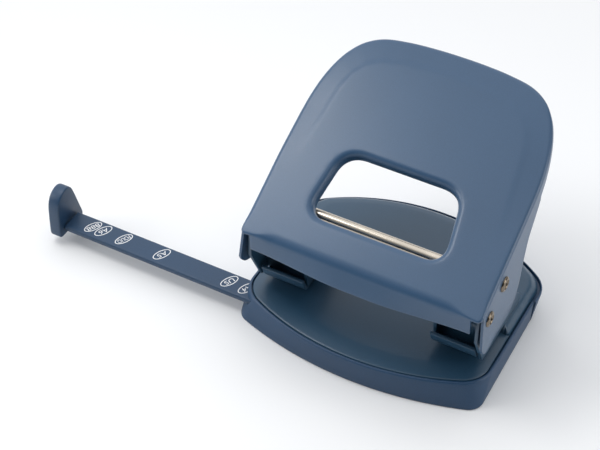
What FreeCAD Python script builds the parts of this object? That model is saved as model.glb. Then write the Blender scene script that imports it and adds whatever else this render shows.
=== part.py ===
"""Two-hole office punch with a sliding paper rail.

Millimetres, +Z up, +X to the user's right, paper goes in along +Y.
The origin is on the table, on the punch's plane of symmetry, under the middle of the base.
"""
import FreeCAD
import Part
import math
import os

Vector = FreeCAD.Vector

# Past the end of every part, for cutting blocks
FAR = 140.0

# Base outline at the deck's seam: bowed front and rear edges between straight sides
DECK_HALF_WIDTH = 55.3
DECK_FRONT_Y = -52.4
DECK_FRONT_RADIUS = 110.0
DECK_FRONT_CORNER = 13.0
DECK_REAR_Y = 46.6
DECK_REAR_RADIUS = 77.0
DECK_REAR_CORNER = 10.0

# Plastic tray under the deck
FOOT_HALF_WIDTH = 57.4
FOOT_FRONT_Y = -54.0
FOOT_FRONT_RADIUS = 160.0
FOOT_FRONT_CORNER = 7.0
FOOT_REAR_CORNER = 12.0
TRAY_RIM = 1.6
TRAY_FLOOR = 1.6
TRAY_WALL = 2.0
TRAY_FILLET = 0.2
LEDGE_WIDTH = 1.0
SEAM = 0.4
SEAM_TOP_Z = 12.6
LEDGE_Z = 11.2
DOOR_Y = 14.15
DOOR_GAP = 0.3
DOOR_SEAM = 1.0
BOSS_X = 48.0
BOSS_YS = (-13.0, 6.0)
BOSS_RADIUS = 3.0
SCREW_RADIUS = 1.5
SCREW_HEAD_RADIUS = 2.6
SCREW_SINK = 0.6
SCREW_HEAD_TOP_Z = 2.6
SCREW_END_GAP = 0.3
DRIVE_HALF_LENGTH = 1.8
DRIVE_HALF_WIDTH = 0.3
DRIVE_DEPTH = 0.8
PAD_RADIUS = 6.0
PAD_THICKNESS = 1.0
PAD_PLACES = ((44.0, -38.0), (38.0, 4.0))

# Pressed steel deck
SHEET = 1.5
DECK_Z = 14.1
DECK_BAND = 7.5
PLATFORM_Z = 18.3
PLATFORM_HALF_WIDTH = 53.2
PLATFORM_REAR_Y = 38.5
PLATFORM_SLOPE = 1.0

# Punches: 80 mm apart and 12 mm in front of the paper's back stop
HOLE_SPACING = 80.0
MARGIN = 12.0
PUNCH_Y = -21.5
BACK_STOP_Y = PUNCH_Y + MARGIN
PUNCH_RADIUS = 2.75
RUNNING = 0.05
PUNCH_TIP_Z = 18.9
PUNCH_GAP = 0.1
DIE_RADIUS = 5.0
DIE_BOTTOM_Z = 10.9
CLIP_Z = 48.0
CLIP_THICKNESS = 1.0
CLIP_RADIUS = 4.7
GROOVE_DEPTH = 0.5
SPRING_WIRE = 0.4
SPRING_RADIUS = 3.6
SPRING_TURNS = 6

# Brackets
EAR_OUTER_X = 52.6
WALL_INNER_X = 29.5
BRACKET_REAR_Y = 7.0
SHELF_FRONT_Y = -31.5
GUIDE_Z = 32.0
WEB_Y = -28.0
WALL_TOP_Z = 36.0
LIP_TOP_Z = 24.4
LIP_LEAN = 2.0
LUG_RADIUS = 4.7
RIVET_RADIUS = 1.6
RIVET_PLACES = ((36.0, 2.5), (44.0, -5.0))
RIVET_HEAD_HEIGHT = 0.8
RIVET_HEAD_LAP = 1.2
RIVET_TAIL_LAP = 0.9

# Handle: a pressed steel cover on a fulcrum, with a push rod across it
HANDLE_SHEET = 1.3
HANDLE_HALF_WIDTH = 55.0
HANDLE_SLOPE = 29.0
HANDLE_DEPTH = 45.0
FACE_Y = -19.3
FACE_Z = 67.0
FACE_STRAIGHT = 30.0
FACE_STRAIGHT_HALF = 54.0
FACE_CORNER = (46.8, 59.5)
FACE_SHOULDER = (33.0, 71.3)
FACE_LENGTH = 74.5
LIP_HALF_WIDTH = 50.0
LIP_BOTTOM_Z = 43.7
HANDLE_FRONT_Y = -46.0
HANDLE_FRONT_SIDE_Y = -43.2
NOTCH_WIDTH = 3.2
NOTCH_TOP_Z = 51.5
FLANGE_BOTTOM_Z = 29.5
WINDOW_FRONT = (29.5, -12.5)
WINDOW_BACK = (23.5, 18.0)
WINDOW_CORNER = 6.0
WINDOW_RIM = 4.0
FULCRUM_Y = -36.1
FULCRUM_Z = 47.9
FULCRUM_RADIUS = 2.0
ROD_Y = -22.6
ROD_Z = 55.5
ROD_RADIUS = 2.25
HEAD_RADIUS = 3.4
HEAD_THICKNESS = 1.0
HEAD_RECESS = 1.7
HEAD_RECESS_DEPTH = 1.6
HEAD_ROUNDING = 0.6
HEAD_GAP = 0.1

# Paper rail, drawn out to the A4 mark
RAIL_Y = -36.7
RAIL_WIDTH = 11.0
RAIL_BOTTOM_Z = 7.5
RAIL_TOP_Z = 10.3
RAIL_GAP = 0.35
STOP_FACE_X = -148.5
STOP_THICKNESS = 6.0
RAIL_INNER_X = -39.0
RAIL_TAPER = 5.0
CHANNEL_HALF_LENGTH = 43.0
CHANNEL_WALL = 0.9
STOP_BOTTOM_Z = 4.5
STOP_TOP_Z = 29.0
STOP_FOOT_HALF = 8.8
STOP_WAIST_HALF = 7.0
STOP_WAIST_Z = 16.0
STOP_HEAD_RADIUS = 4.8
LEAF_LENGTH = 24.0
LEAF_WIDTH = 5.0
LEAF_THICKNESS = 0.3
LEAF_FOOT = 8.0
LEAF_DROP = 1.6


def block(x0, x1, y0, y1, z0, z1):
    """Box between two corners."""
    return Part.makeBox(x1 - x0, y1 - y0, z1 - z0, Vector(x0, y0, z0))


def post(x, y, z0, z1, radius):
    """Upright cylinder."""
    return Part.makeCylinder(radius, z1 - z0, Vector(x, y, z0))


def spindle(x0, x1, y, z, radius):
    """Cylinder along X."""
    return Part.makeCylinder(radius, x1 - x0, Vector(x0, y, z), Vector(1, 0, 0))


def side_plate(points, x0, x1):
    """Plate of even thickness along X from its (y, z) outline."""
    corners = [Vector(x0, y, z) for y, z in points]
    face = Part.Face(Part.makePolygon(corners + corners[:1]))
    return face.extrude(Vector(x1 - x0, 0, 0))


def mirrored(shape):
    """The same shape on the other side of the punch."""
    return shape.mirror(Vector(0, 0, 0), Vector(1, 0, 0))


def corner_arc(half_width, end_y, big_radius, radius, way):
    """Corner between a side and a bowed end: its end on the bow, its middle and its end on the side."""
    centre_x = half_width - radius
    bow_y = end_y - way * big_radius
    rise = way * math.sqrt((big_radius - radius) ** 2 - centre_x ** 2)
    reach = big_radius / (big_radius - radius)
    on_bow = (centre_x * reach, bow_y + rise * reach)
    turn = math.atan2(rise, centre_x) / 2
    middle = (centre_x + radius * math.cos(turn), bow_y + rise + radius * math.sin(turn))
    return on_bow, middle, (half_width, bow_y + rise)


def outline(z, half_width, front_y, front_radius, front_corner, rear_y, rear_radius, rear_corner):
    """Closed base outline at one height."""
    front = corner_arc(half_width, front_y, front_radius, front_corner, -1)
    rear = corner_arc(half_width, rear_y, rear_radius, rear_corner, 1)

    def at(point, side=1):
        return Vector(side * point[0], point[1], z)

    def arc(a, b, c):
        return Part.Arc(a, b, c).toShape()

    edges = [
        arc(at(front[0], -1), Vector(0, front_y, z), at(front[0])),
        arc(at(front[0]), at(front[1]), at(front[2])),
        Part.LineSegment(at(front[2]), at(rear[2])).toShape(),
        arc(at(rear[2]), at(rear[1]), at(rear[0])),
        arc(at(rear[0]), Vector(0, rear_y, z), at(rear[0], -1)),
        arc(at(rear[0], -1), at(rear[1], -1), at(rear[2], -1)),
        Part.LineSegment(at(rear[2], -1), at(front[2], -1)).toShape(),
        arc(at(front[2], -1), at(front[1], -1), at(front[0], -1)),
    ]
    return Part.Wire(edges)


def deck_outline(z, inset):
    """The deck's outline drawn in by an even inset, or out by a negative one."""
    return outline(
        z,
        DECK_HALF_WIDTH - inset,
        DECK_FRONT_Y + inset,
        DECK_FRONT_RADIUS - inset,
        DECK_FRONT_CORNER - inset,
        DECK_REAR_Y - inset,
        DECK_REAR_RADIUS - inset,
        DECK_REAR_CORNER - inset,
    )


def foot_outline(z, inset):
    """The tray's outline on the table."""
    return outline(
        z,
        FOOT_HALF_WIDTH - inset,
        FOOT_FRONT_Y + inset,
        FOOT_FRONT_RADIUS - inset,
        FOOT_FRONT_CORNER - inset,
        DECK_REAR_Y + TRAY_RIM - inset,
        DECK_REAR_RADIUS + TRAY_RIM - inset,
        FOOT_REAR_CORNER - inset,
    )


def loft(*wires):
    """Solid with ruled sides between outlines of the same make."""
    return Part.makeLoft(list(wires), True, True)


def prism(wire, height):
    """Upright solid on a flat outline."""
    return Part.Face(wire).extrude(Vector(0, 0, height))


def tray_blank(rim_gap):
    """Whole tray: floor, drafted wall, ledge under the deck and rim around it."""
    shell = loft(foot_outline(0, 0), deck_outline(SEAM_TOP_Z, -TRAY_RIM))
    hollow = loft(
        foot_outline(TRAY_FLOOR, TRAY_WALL + TRAY_FILLET),
        deck_outline(LEDGE_Z, TRAY_WALL - TRAY_RIM + LEDGE_WIDTH),
    )
    recess = prism(deck_outline(LEDGE_Z, -rim_gap), SEAM_TOP_Z)
    return shell.cut(hollow).cut(recess)


def rail_slot(x0, x1):
    """Room that the rail needs to run through, with a gap all round."""
    half = RAIL_WIDTH / 2 + RAIL_GAP
    return block(x0, x1, RAIL_Y - half, RAIL_Y + half, RAIL_BOTTOM_Z - RAIL_GAP, RAIL_TOP_Z + RAIL_GAP)


def boss_top(y):
    """Height of the deck's underside over a boss."""
    return (PLATFORM_Z if y > BACK_STOP_Y else DECK_Z) - SHEET


def make_chip_tray(deck):
    """Front and floor of the tray, with screw bosses, pad pockets and the rail's way in."""
    tray = tray_blank(SEAM)
    tray = tray.cut(block(-FAR, FAR, DOOR_Y - DOOR_GAP / 2, FAR, -1, FAR))
    tray = tray.cut(rail_slot(-FAR, -CHANNEL_HALF_LENGTH))
    for y in BOSS_YS:
        boss = post(BOSS_X, y, 0, boss_top(y), BOSS_RADIUS)
        hole = post(BOSS_X, y, 0, boss_top(y), SCREW_RADIUS)
        sink = post(BOSS_X, y, 0, SCREW_HEAD_TOP_Z, SCREW_HEAD_RADIUS)
        tray = tray.fuse([boss, mirrored(boss)]).cut([hole, mirrored(hole), sink, mirrored(sink)])
    for x, y in PAD_PLACES:
        pocket = post(x, y, 0, PAD_THICKNESS, PAD_RADIUS)
        tray = tray.cut([pocket, mirrored(pocket)])
    return tray.cut(deck)


def make_tray_door():
    """Rear of the tray: it swings down on a film hinge to let the chips out."""
    return tray_blank(DOOR_SEAM).common(block(-FAR, FAR, DOOR_Y + DOOR_GAP / 2, FAR, -1, FAR))


def make_screws():
    """Four screws that hold the tray to the deck."""
    screws = []
    for y in BOSS_YS:
        shank = post(BOSS_X, y, SCREW_SINK, boss_top(y) + SHEET - SCREW_END_GAP, SCREW_RADIUS)
        head = post(BOSS_X, y, SCREW_SINK, SCREW_HEAD_TOP_Z, SCREW_HEAD_RADIUS)
        drive = block(
            BOSS_X - DRIVE_HALF_LENGTH, BOSS_X + DRIVE_HALF_LENGTH,
            y - DRIVE_HALF_WIDTH, y + DRIVE_HALF_WIDTH,
            0, SCREW_SINK + DRIVE_DEPTH)
        screw = shank.fuse(head).cut(drive)
        screws += [screw, mirrored(screw)]
    return Part.makeCompound(screws)


def make_pads():
    """Four soft pads let into the tray's floor, flush with it."""
    pads = []
    for x, y in PAD_PLACES:
        pad = post(x, y, 0, PAD_THICKNESS, PAD_RADIUS)
        pads += [pad, mirrored(pad)]
    return Part.makeCompound(pads)


def platform(inset, drop):
    """Raised rear of the deck; its front face is the paper's back stop."""
    def ring(z, extra):
        return outline(
            z - drop,
            PLATFORM_HALF_WIDTH - inset + extra,
            DECK_FRONT_Y,
            DECK_FRONT_RADIUS,
            DECK_FRONT_CORNER,
            PLATFORM_REAR_Y - inset + extra,
            DECK_REAR_RADIUS,
            DECK_REAR_CORNER,
        )

    body = loft(ring(SEAM_TOP_Z, PLATFORM_SLOPE), ring(PLATFORM_Z, 0))
    return body.common(block(-FAR, FAR, BACK_STOP_Y + inset, FAR, 0, FAR))


def make_deck():
    """Pressed plate with a sloping edge band and a raised rear platform."""
    outer = prism(deck_outline(LEDGE_Z, 0), SEAM_TOP_Z - LEDGE_Z)
    outer = outer.fuse(loft(deck_outline(SEAM_TOP_Z, 0), deck_outline(DECK_Z, DECK_BAND)))
    outer = outer.fuse(platform(0, 0))
    inner = prism(deck_outline(LEDGE_Z - SHEET, SHEET), SEAM_TOP_Z - LEDGE_Z)
    under_band = loft(deck_outline(SEAM_TOP_Z - SHEET, SHEET), deck_outline(DECK_Z - SHEET, DECK_BAND))
    inner = inner.fuse(under_band).fuse(platform(SHEET, SHEET))
    deck = outer.cut(inner)
    for x in (-HOLE_SPACING / 2, HOLE_SPACING / 2):
        deck = deck.cut(post(x, PUNCH_Y, DIE_BOTTOM_Z, DECK_Z + 1, DIE_RADIUS))
    for side in (-1, 1):
        for y in BOSS_YS:
            deck = deck.cut(post(side * BOSS_X, y, 0, boss_top(y) + SHEET - SCREW_END_GAP, SCREW_RADIUS))
        for x, y in RIVET_PLACES:
            deck = deck.cut(post(side * x, y, 0, PLATFORM_Z, RIVET_RADIUS))
    return deck


def make_die():
    """Hardened ring that the right punch shears into."""
    ring = post(HOLE_SPACING / 2, PUNCH_Y, DIE_BOTTOM_Z, DECK_Z, DIE_RADIUS)
    return ring.cut(post(HOLE_SPACING / 2, PUNCH_Y, DIE_BOTTOM_Z, DECK_Z, PUNCH_RADIUS + RUNNING))


def ear_outline():
    """Outer wall of the bracket, up to the lug that carries the fulcrum."""
    lug = []
    for degrees in (180, 150, 120, 90, 60, 30, 0):
        angle = math.radians(degrees)
        lug.append((FULCRUM_Y + LUG_RADIUS * math.cos(angle), FULCRUM_Z + LUG_RADIUS * math.sin(angle)))
    rod_rest = FULCRUM_Z - ROD_RADIUS - 0.5
    return (
        [(BRACKET_REAR_Y, PLATFORM_Z), (SHELF_FRONT_Y - 0.5, PLATFORM_Z), (-41.0, 37.0)]
        + lug
        + [(-27.5, rod_rest), (-15.0, rod_rest), (-6.0, WALL_TOP_Z), (BRACKET_REAR_Y, PLATFORM_Z + 4)]
    )


def make_bracket():
    """Right bracket, folded from sheet: floor, two walls, guide plate, web and flared paper lip."""
    floor_top = PLATFORM_Z + SHEET
    ear = side_plate(ear_outline(), EAR_OUTER_X - SHEET, EAR_OUTER_X)
    wall = side_plate(
        [
            (BRACKET_REAR_Y, PLATFORM_Z),
            (SHELF_FRONT_Y - 0.5, PLATFORM_Z),
            (-39.0, 31.5),
            (-36.0, WALL_TOP_Z),
            (-13.0, WALL_TOP_Z),
            (BRACKET_REAR_Y, PLATFORM_Z + 4),
        ],
        WALL_INNER_X,
        WALL_INNER_X + SHEET,
    )
    inside = (WALL_INNER_X + SHEET, EAR_OUTER_X - SHEET)
    floor = block(*inside, SHELF_FRONT_Y, BRACKET_REAR_Y, PLATFORM_Z, floor_top)
    guide = block(*inside, WEB_Y, -13.0, GUIDE_Z, GUIDE_Z + SHEET)
    web = block(*inside, WEB_Y, WEB_Y + SHEET, floor_top, GUIDE_Z)
    lip = side_plate(
        [
            (SHELF_FRONT_Y, PLATFORM_Z),
            (SHELF_FRONT_Y, floor_top),
            (SHELF_FRONT_Y - LIP_LEAN + SHEET, LIP_TOP_Z),
            (SHELF_FRONT_Y - LIP_LEAN, LIP_TOP_Z),
            (SHELF_FRONT_Y - SHEET, PLATFORM_Z + 0.6),
        ],
        WALL_INNER_X + SHEET,
        EAR_OUTER_X - SHEET - 1.5,
    )
    bracket = ear.fuse([wall, floor, guide, web, lip])
    bore = post(HOLE_SPACING / 2, PUNCH_Y, PLATFORM_Z, GUIDE_Z + SHEET, PUNCH_RADIUS + RUNNING)
    eye = spindle(EAR_OUTER_X - SHEET, EAR_OUTER_X, FULCRUM_Y, FULCRUM_Z, FULCRUM_RADIUS)
    rivets = [post(x, y, PLATFORM_Z, floor_top, RIVET_RADIUS) for x, y in RIVET_PLACES]
    return bracket.cut([bore, eye] + rivets).removeSplitter()


def make_bracket_rivets():
    """Two rivets under each bracket."""
    rivets = []
    for x, y in RIVET_PLACES:
        floor_top = PLATFORM_Z + SHEET
        shank = post(x, y, PLATFORM_Z - SHEET, floor_top, RIVET_RADIUS)
        head = post(x, y, floor_top, floor_top + RIVET_HEAD_HEIGHT, RIVET_RADIUS + RIVET_HEAD_LAP)
        tail_z = PLATFORM_Z - SHEET
        tail = post(x, y, tail_z - RIVET_HEAD_HEIGHT, tail_z, RIVET_RADIUS + RIVET_TAIL_LAP)
        rivet = shank.fuse([head, tail])
        rivets += [rivet, mirrored(rivet)]
    return Part.makeCompound(rivets)


def make_punch():
    """Right punch pin: hollow-ground tip, clip groove and rounded head."""
    x = HOLE_SPACING / 2
    top = ROD_Z - ROD_RADIUS - PUNCH_GAP
    pin = post(x, PUNCH_Y, PUNCH_TIP_Z, top, PUNCH_RADIUS)
    hollow = Part.makeCylinder(
        PUNCH_RADIUS * 1.6, 4 * PUNCH_RADIUS,
        Vector(x - 2 * PUNCH_RADIUS, PUNCH_Y, PUNCH_TIP_Z - PUNCH_RADIUS * 1.25), Vector(1, 0, 0))
    groove = post(x, PUNCH_Y, CLIP_Z, CLIP_Z + CLIP_THICKNESS, PUNCH_RADIUS + 1)
    groove = groove.cut(post(x, PUNCH_Y, CLIP_Z, CLIP_Z + CLIP_THICKNESS, PUNCH_RADIUS - GROOVE_DEPTH))
    pin = pin.cut([hollow, groove])
    rim = [edge for edge in pin.Edges if abs(edge.BoundBox.ZMin - top) < 0.01]
    return pin.makeChamfer(0.4, rim)


def make_clip():
    """Right clip: an open ring snapped into the punch's groove."""
    x = HOLE_SPACING / 2
    ring = post(x, PUNCH_Y, CLIP_Z, CLIP_Z + CLIP_THICKNESS, CLIP_RADIUS)
    ring = ring.cut(post(x, PUNCH_Y, CLIP_Z, CLIP_Z + CLIP_THICKNESS, PUNCH_RADIUS - GROOVE_DEPTH))
    mouth = PUNCH_RADIUS - GROOVE_DEPTH
    return ring.cut(block(x - mouth, x + mouth, PUNCH_Y, PUNCH_Y + 9, CLIP_Z, CLIP_Z + CLIP_THICKNESS))


def make_spring():
    """Right return spring, between the bracket's guide plate and the clip."""
    base_z = GUIDE_Z + SHEET + SPRING_WIRE
    height = CLIP_Z - SPRING_WIRE - base_z
    helix = Part.makeHelix(height / SPRING_TURNS, height, SPRING_RADIUS)
    section = Part.Wire(Part.makeCircle(SPRING_WIRE, Vector(SPRING_RADIUS, 0, 0), Vector(0, 1, 0)))
    coil = Part.Wire(helix.Edges).makePipeShell([section], True, True)
    coil.translate(Vector(HOLE_SPACING / 2, PUNCH_Y, base_z))
    return coil


def make_rivet_pin(x0, x1, y, z, radius):
    """Round pin along X with a cupped head past x1."""
    pin = spindle(x0, x1, y, z, radius)
    head = spindle(x1, x1 + HEAD_THICKNESS, y, z, HEAD_RADIUS)
    rim = [edge for edge in head.Edges if abs(edge.BoundBox.XMin - x1 - HEAD_THICKNESS) < 0.01]
    head = head.makeFillet(HEAD_ROUNDING, rim)
    cup_x = x1 + HEAD_THICKNESS - HEAD_RECESS_DEPTH
    cup = Part.makeCone(
        HEAD_RECESS - 0.5, HEAD_RECESS, HEAD_RECESS_DEPTH, Vector(cup_x, y, z), Vector(1, 0, 0))
    return pin.fuse(head).cut(cup)


def make_push_rod():
    """Polished rod right across the handle, riveted over outside both flanges."""
    half = make_rivet_pin(0, HANDLE_HALF_WIDTH, ROD_Y, ROD_Z, ROD_RADIUS)
    return half.fuse(mirrored(half)).removeSplitter()


def make_fulcrum():
    """Right fulcrum rivet through the flange, the spacer and the bracket's ear."""
    inner_x = EAR_OUTER_X - SHEET
    pin = make_rivet_pin(inner_x, HANDLE_HALF_WIDTH + HEAD_GAP, FULCRUM_Y, FULCRUM_Z, FULCRUM_RADIUS)
    tail = spindle(inner_x - 0.9, inner_x, FULCRUM_Y, FULCRUM_Z, FULCRUM_RADIUS + 0.5)
    return pin.fuse(tail)


def make_spacer():
    """Right washer that keeps the handle's flange off the ear."""
    x1 = HANDLE_HALF_WIDTH - HANDLE_SHEET - HEAD_GAP
    ring = spindle(EAR_OUTER_X, x1, FULCRUM_Y, FULCRUM_Z, HEAD_RADIUS)
    return ring.cut(spindle(EAR_OUTER_X, x1, FULCRUM_Y, FULCRUM_Z, FULCRUM_RADIUS))


def face_solid(inset, drop, depth):
    """Space under the handle's sloping face, inside its outline, drawn square to the face."""

    def at(x, s, side=1):
        return Vector(side * (x - inset), s, -drop)

    front = (HANDLE_HALF_WIDTH, -FACE_LENGTH)
    waist = (HANDLE_HALF_WIDTH, 0)
    side = (FACE_STRAIGHT_HALF, FACE_STRAIGHT)
    corner = (FACE_CORNER[0], FACE_CORNER[1] - inset)
    shoulder = (FACE_SHOULDER[0], FACE_SHOULDER[1] - inset)
    edges = [
        Part.LineSegment(at(*front, -1), at(*front)).toShape(),
        Part.LineSegment(at(*front), at(*waist)).toShape(),
        Part.LineSegment(at(*waist), at(*side)).toShape(),
        Part.Arc(at(*side), at(*corner), at(*shoulder)).toShape(),
        Part.Arc(at(*shoulder), Vector(0, FACE_LENGTH - inset, -drop), at(*shoulder, -1)).toShape(),
        Part.Arc(at(*shoulder, -1), at(*corner, -1), at(*side, -1)).toShape(),
        Part.LineSegment(at(*side, -1), at(*waist, -1)).toShape(),
        Part.LineSegment(at(*waist, -1), at(*front, -1)).toShape(),
    ]
    solid = Part.Face(Part.Wire(edges)).extrude(Vector(0, 0, -depth))
    solid.rotate(Vector(0, 0, 0), Vector(1, 0, 0), HANDLE_SLOPE)
    solid.translate(Vector(0, FACE_Y, FACE_Z))
    return solid


def behind_front(inset):
    """Everything behind the handle's bowed front."""
    half = HANDLE_HALF_WIDTH
    bow = Part.Arc(
        Vector(-half, HANDLE_FRONT_SIDE_Y + inset, 0),
        Vector(0, HANDLE_FRONT_Y + inset, 0),
        Vector(half, HANDLE_FRONT_SIDE_Y + inset, 0),
    ).toShape()
    rear = Part.makePolygon([
        Vector(half, HANDLE_FRONT_SIDE_Y + inset, 0), Vector(half, FAR, 0),
        Vector(-half, FAR, 0), Vector(-half, HANDLE_FRONT_SIDE_Y + inset, 0)])
    return prism(Part.Wire([bow] + rear.Edges), FAR)


def window_wire(grow):
    """Rounded window that narrows towards the top, in the plane of the face."""
    front_x, front_s = WINDOW_FRONT[0] + grow, WINDOW_FRONT[1] - grow
    back_x, back_s = WINDOW_BACK[0] + grow, WINDOW_BACK[1] + grow
    corners = [
        Vector(-front_x, front_s, 0), Vector(front_x, front_s, 0),
        Vector(back_x, back_s, 0), Vector(-back_x, back_s, 0),
    ]
    solid = Part.Face(Part.makePolygon(corners + corners[:1])).extrude(Vector(0, 0, 1))
    upright = [edge for edge in solid.Edges if abs(edge.Vertexes[0].Z - edge.Vertexes[1].Z) > 0.5]
    solid = solid.makeFillet(WINDOW_CORNER + grow, upright)
    return [face for face in solid.Faces if face.BoundBox.ZMax < 0.01][0].OuterWire


def window_solid(grow, top, bottom):
    """The window's space from one height over the face to another."""
    solid = Part.Face(window_wire(grow)).extrude(Vector(0, 0, bottom - top))
    solid.translate(Vector(0, 0, top))
    solid.rotate(Vector(0, 0, 0), Vector(1, 0, 0), HANDLE_SLOPE)
    solid.translate(Vector(0, FACE_Y, FACE_Z))
    return solid


def under_flanges():
    """What is cut away under the side flanges, from the front tip to the top edge."""
    return side_plate(
        [
            (-60, 39.0), (-44.0, 39.0), (-43.0, 36.0), (-41.4, 32.8), (-39.2, 30.5), (-36.0, FLANGE_BOTTOM_Z),
            (-15, FLANGE_BOTTOM_Z), (-7, 34), (-5, 39), (-3, 51), (0, 62), (4.4, 68), (9.7, 75),
            (20, 84), (30, 90.3), (50, 101.5), (90, 123), (90, 0), (-60, 0),
        ],
        -60, 60)


def make_handle():
    """Pressed cover: sloping face, side flanges, front lip, corner notches and window."""
    outer = face_solid(0, 0, HANDLE_DEPTH).common(behind_front(0))
    inner = face_solid(HANDLE_SHEET, HANDLE_SHEET, HANDLE_DEPTH + 5).common(behind_front(HANDLE_SHEET))
    shell = outer.cut(inner).cut(under_flanges())
    notch_x = LIP_HALF_WIDTH + NOTCH_WIDTH
    shell = shell.cut(block(-notch_x, notch_x, -FAR, HANDLE_FRONT_SIDE_Y + 4, 0, LIP_BOTTOM_Z))
    notch = block(LIP_HALF_WIDTH, notch_x, -FAR, HANDLE_FRONT_SIDE_Y + 3, 0, NOTCH_TOP_Z)
    shell = shell.cut([notch, mirrored(notch)])
    rim = window_solid(HANDLE_SHEET, 0, -WINDOW_RIM)
    shell = shell.fuse(rim).cut(window_solid(0, 1, -WINDOW_RIM - 1))
    flange = (HANDLE_HALF_WIDTH - HANDLE_SHEET - 1, HANDLE_HALF_WIDTH + 1)
    eye = spindle(*flange, FULCRUM_Y, FULCRUM_Z, FULCRUM_RADIUS + RUNNING)
    hole = spindle(*flange, ROD_Y, ROD_Z, ROD_RADIUS)
    return shell.cut([eye, mirrored(eye), hole, mirrored(hole)]).removeSplitter()


def make_rail():
    """Flat slide with a tapered inner end."""
    half = RAIL_WIDTH / 2
    bar = block(STOP_FACE_X, RAIL_INNER_X, RAIL_Y - half, RAIL_Y + half, RAIL_BOTTOM_Z, RAIL_TOP_Z)
    long_edges = [edge for edge in bar.Edges if edge.BoundBox.XLength > 50]
    bar = bar.makeFillet(0.8, long_edges)
    corner = [
        Vector(RAIL_INNER_X - RAIL_TAPER, RAIL_Y - half - 1, 0),
        Vector(RAIL_INNER_X + 1, RAIL_Y - half - 1, 0),
        Vector(RAIL_INNER_X + 1, RAIL_Y - half + RAIL_TAPER, 0),
    ]
    return bar.cut(Part.Face(Part.makePolygon(corner + corner[:1])).extrude(Vector(0, 0, 20)))


def make_stop():
    """Upright paper stop on the rail's outer end: broad foot, waisted sides, round head."""
    head_z = STOP_TOP_Z - STOP_HEAD_RADIUS
    x = STOP_FACE_X - STOP_THICKNESS

    def at(y, z):
        return Vector(x, RAIL_Y + y, z)

    def arc(a, b, c):
        return Part.Arc(at(*a), at(*b), at(*c)).toShape()

    foot = (STOP_FOOT_HALF, STOP_BOTTOM_Z)
    waist = (STOP_WAIST_HALF, STOP_WAIST_Z)
    crown = (STOP_HEAD_RADIUS, head_z)
    edges = [
        Part.LineSegment(at(-foot[0], foot[1]), at(*foot)).toShape(),
        arc(foot, waist, crown),
        arc(crown, (0, STOP_TOP_Z), (-crown[0], head_z)),
        arc((-crown[0], head_z), (-waist[0], waist[1]), (-foot[0], foot[1])),
    ]
    return Part.Face(Part.Wire(edges)).extrude(Vector(STOP_THICKNESS, 0, 0))


def make_channel():
    """Trough under the deck that the rail runs in."""
    half = RAIL_WIDTH / 2 + RAIL_GAP + CHANNEL_WALL
    bottom = RAIL_BOTTOM_Z - RAIL_GAP - CHANNEL_WALL
    trough = block(
        -CHANNEL_HALF_LENGTH, CHANNEL_HALF_LENGTH,
        RAIL_Y - half, RAIL_Y + half,
        bottom, RAIL_TOP_Z + RAIL_GAP)
    return trough.cut([rail_slot(-CHANNEL_HALF_LENGTH, CHANNEL_HALF_LENGTH), tray_blank(SEAM)])


def make_leaf():
    """Leaf spring over the trough that steadies the rail."""
    top = DECK_Z - SHEET
    half = LEAF_WIDTH / 2
    bend_x = LEAF_FOOT - LEAF_LENGTH
    foot = block(-LEAF_LENGTH, bend_x, RAIL_Y - half, RAIL_Y + half, top - LEAF_THICKNESS, top)
    profile = [
        (0, 0), (0, -LEAF_THICKNESS),
        (LEAF_LENGTH, -LEAF_DROP - LEAF_THICKNESS), (LEAF_LENGTH, -LEAF_DROP),
    ]
    blade = side_plate(profile, -half, half)
    blade.rotate(Vector(0, 0, 0), Vector(0, 0, 1), -90)
    blade.translate(Vector(bend_x, RAIL_Y, top))
    return foot.fuse(blade)


def build():
    """Every sub-part by node name."""
    deck = make_deck()
    parts = {
        "chip_tray": make_chip_tray(deck),
        "tray_door": make_tray_door(),
        "tray_screws": make_screws(),
        "foot_pads": make_pads(),
        "deck_plate": deck,
        "bracket_rivets": make_bracket_rivets(),
        "handle_shell": make_handle(),
        "push_rod": make_push_rod(),
        "paper_rail": make_rail(),
        "paper_stop": make_stop(),
        "rail_channel": make_channel(),
        "rail_leaf_spring": make_leaf(),
    }
    paired = {
        "die": make_die(),
        "bracket": make_bracket(),
        "punch_pin": make_punch(),
        "pin_clip": make_clip(),
        "return_spring": make_spring(),
        "fulcrum_pin": make_fulcrum(),
        "spacer_washer": make_spacer(),
    }
    for name, shape in paired.items():
        parts["right_" + name] = shape
        parts["left_" + name] = mirrored(shape)
    return parts


os.makedirs("parts", exist_ok=True)
for node, shape in build().items():
    if not shape.isValid() or not shape.Solids:
        raise ValueError("bad shape: " + node)
    shape.exportStep("parts/" + node + ".step")
    print(node, len(shape.Solids), "solid(s), volume", round(shape.Volume, 1))
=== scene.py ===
import math

import bmesh
import bpy
import numpy as np
from mathutils import Matrix, Vector
from mathutils.geometry import delaunay_2d_cdt


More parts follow.
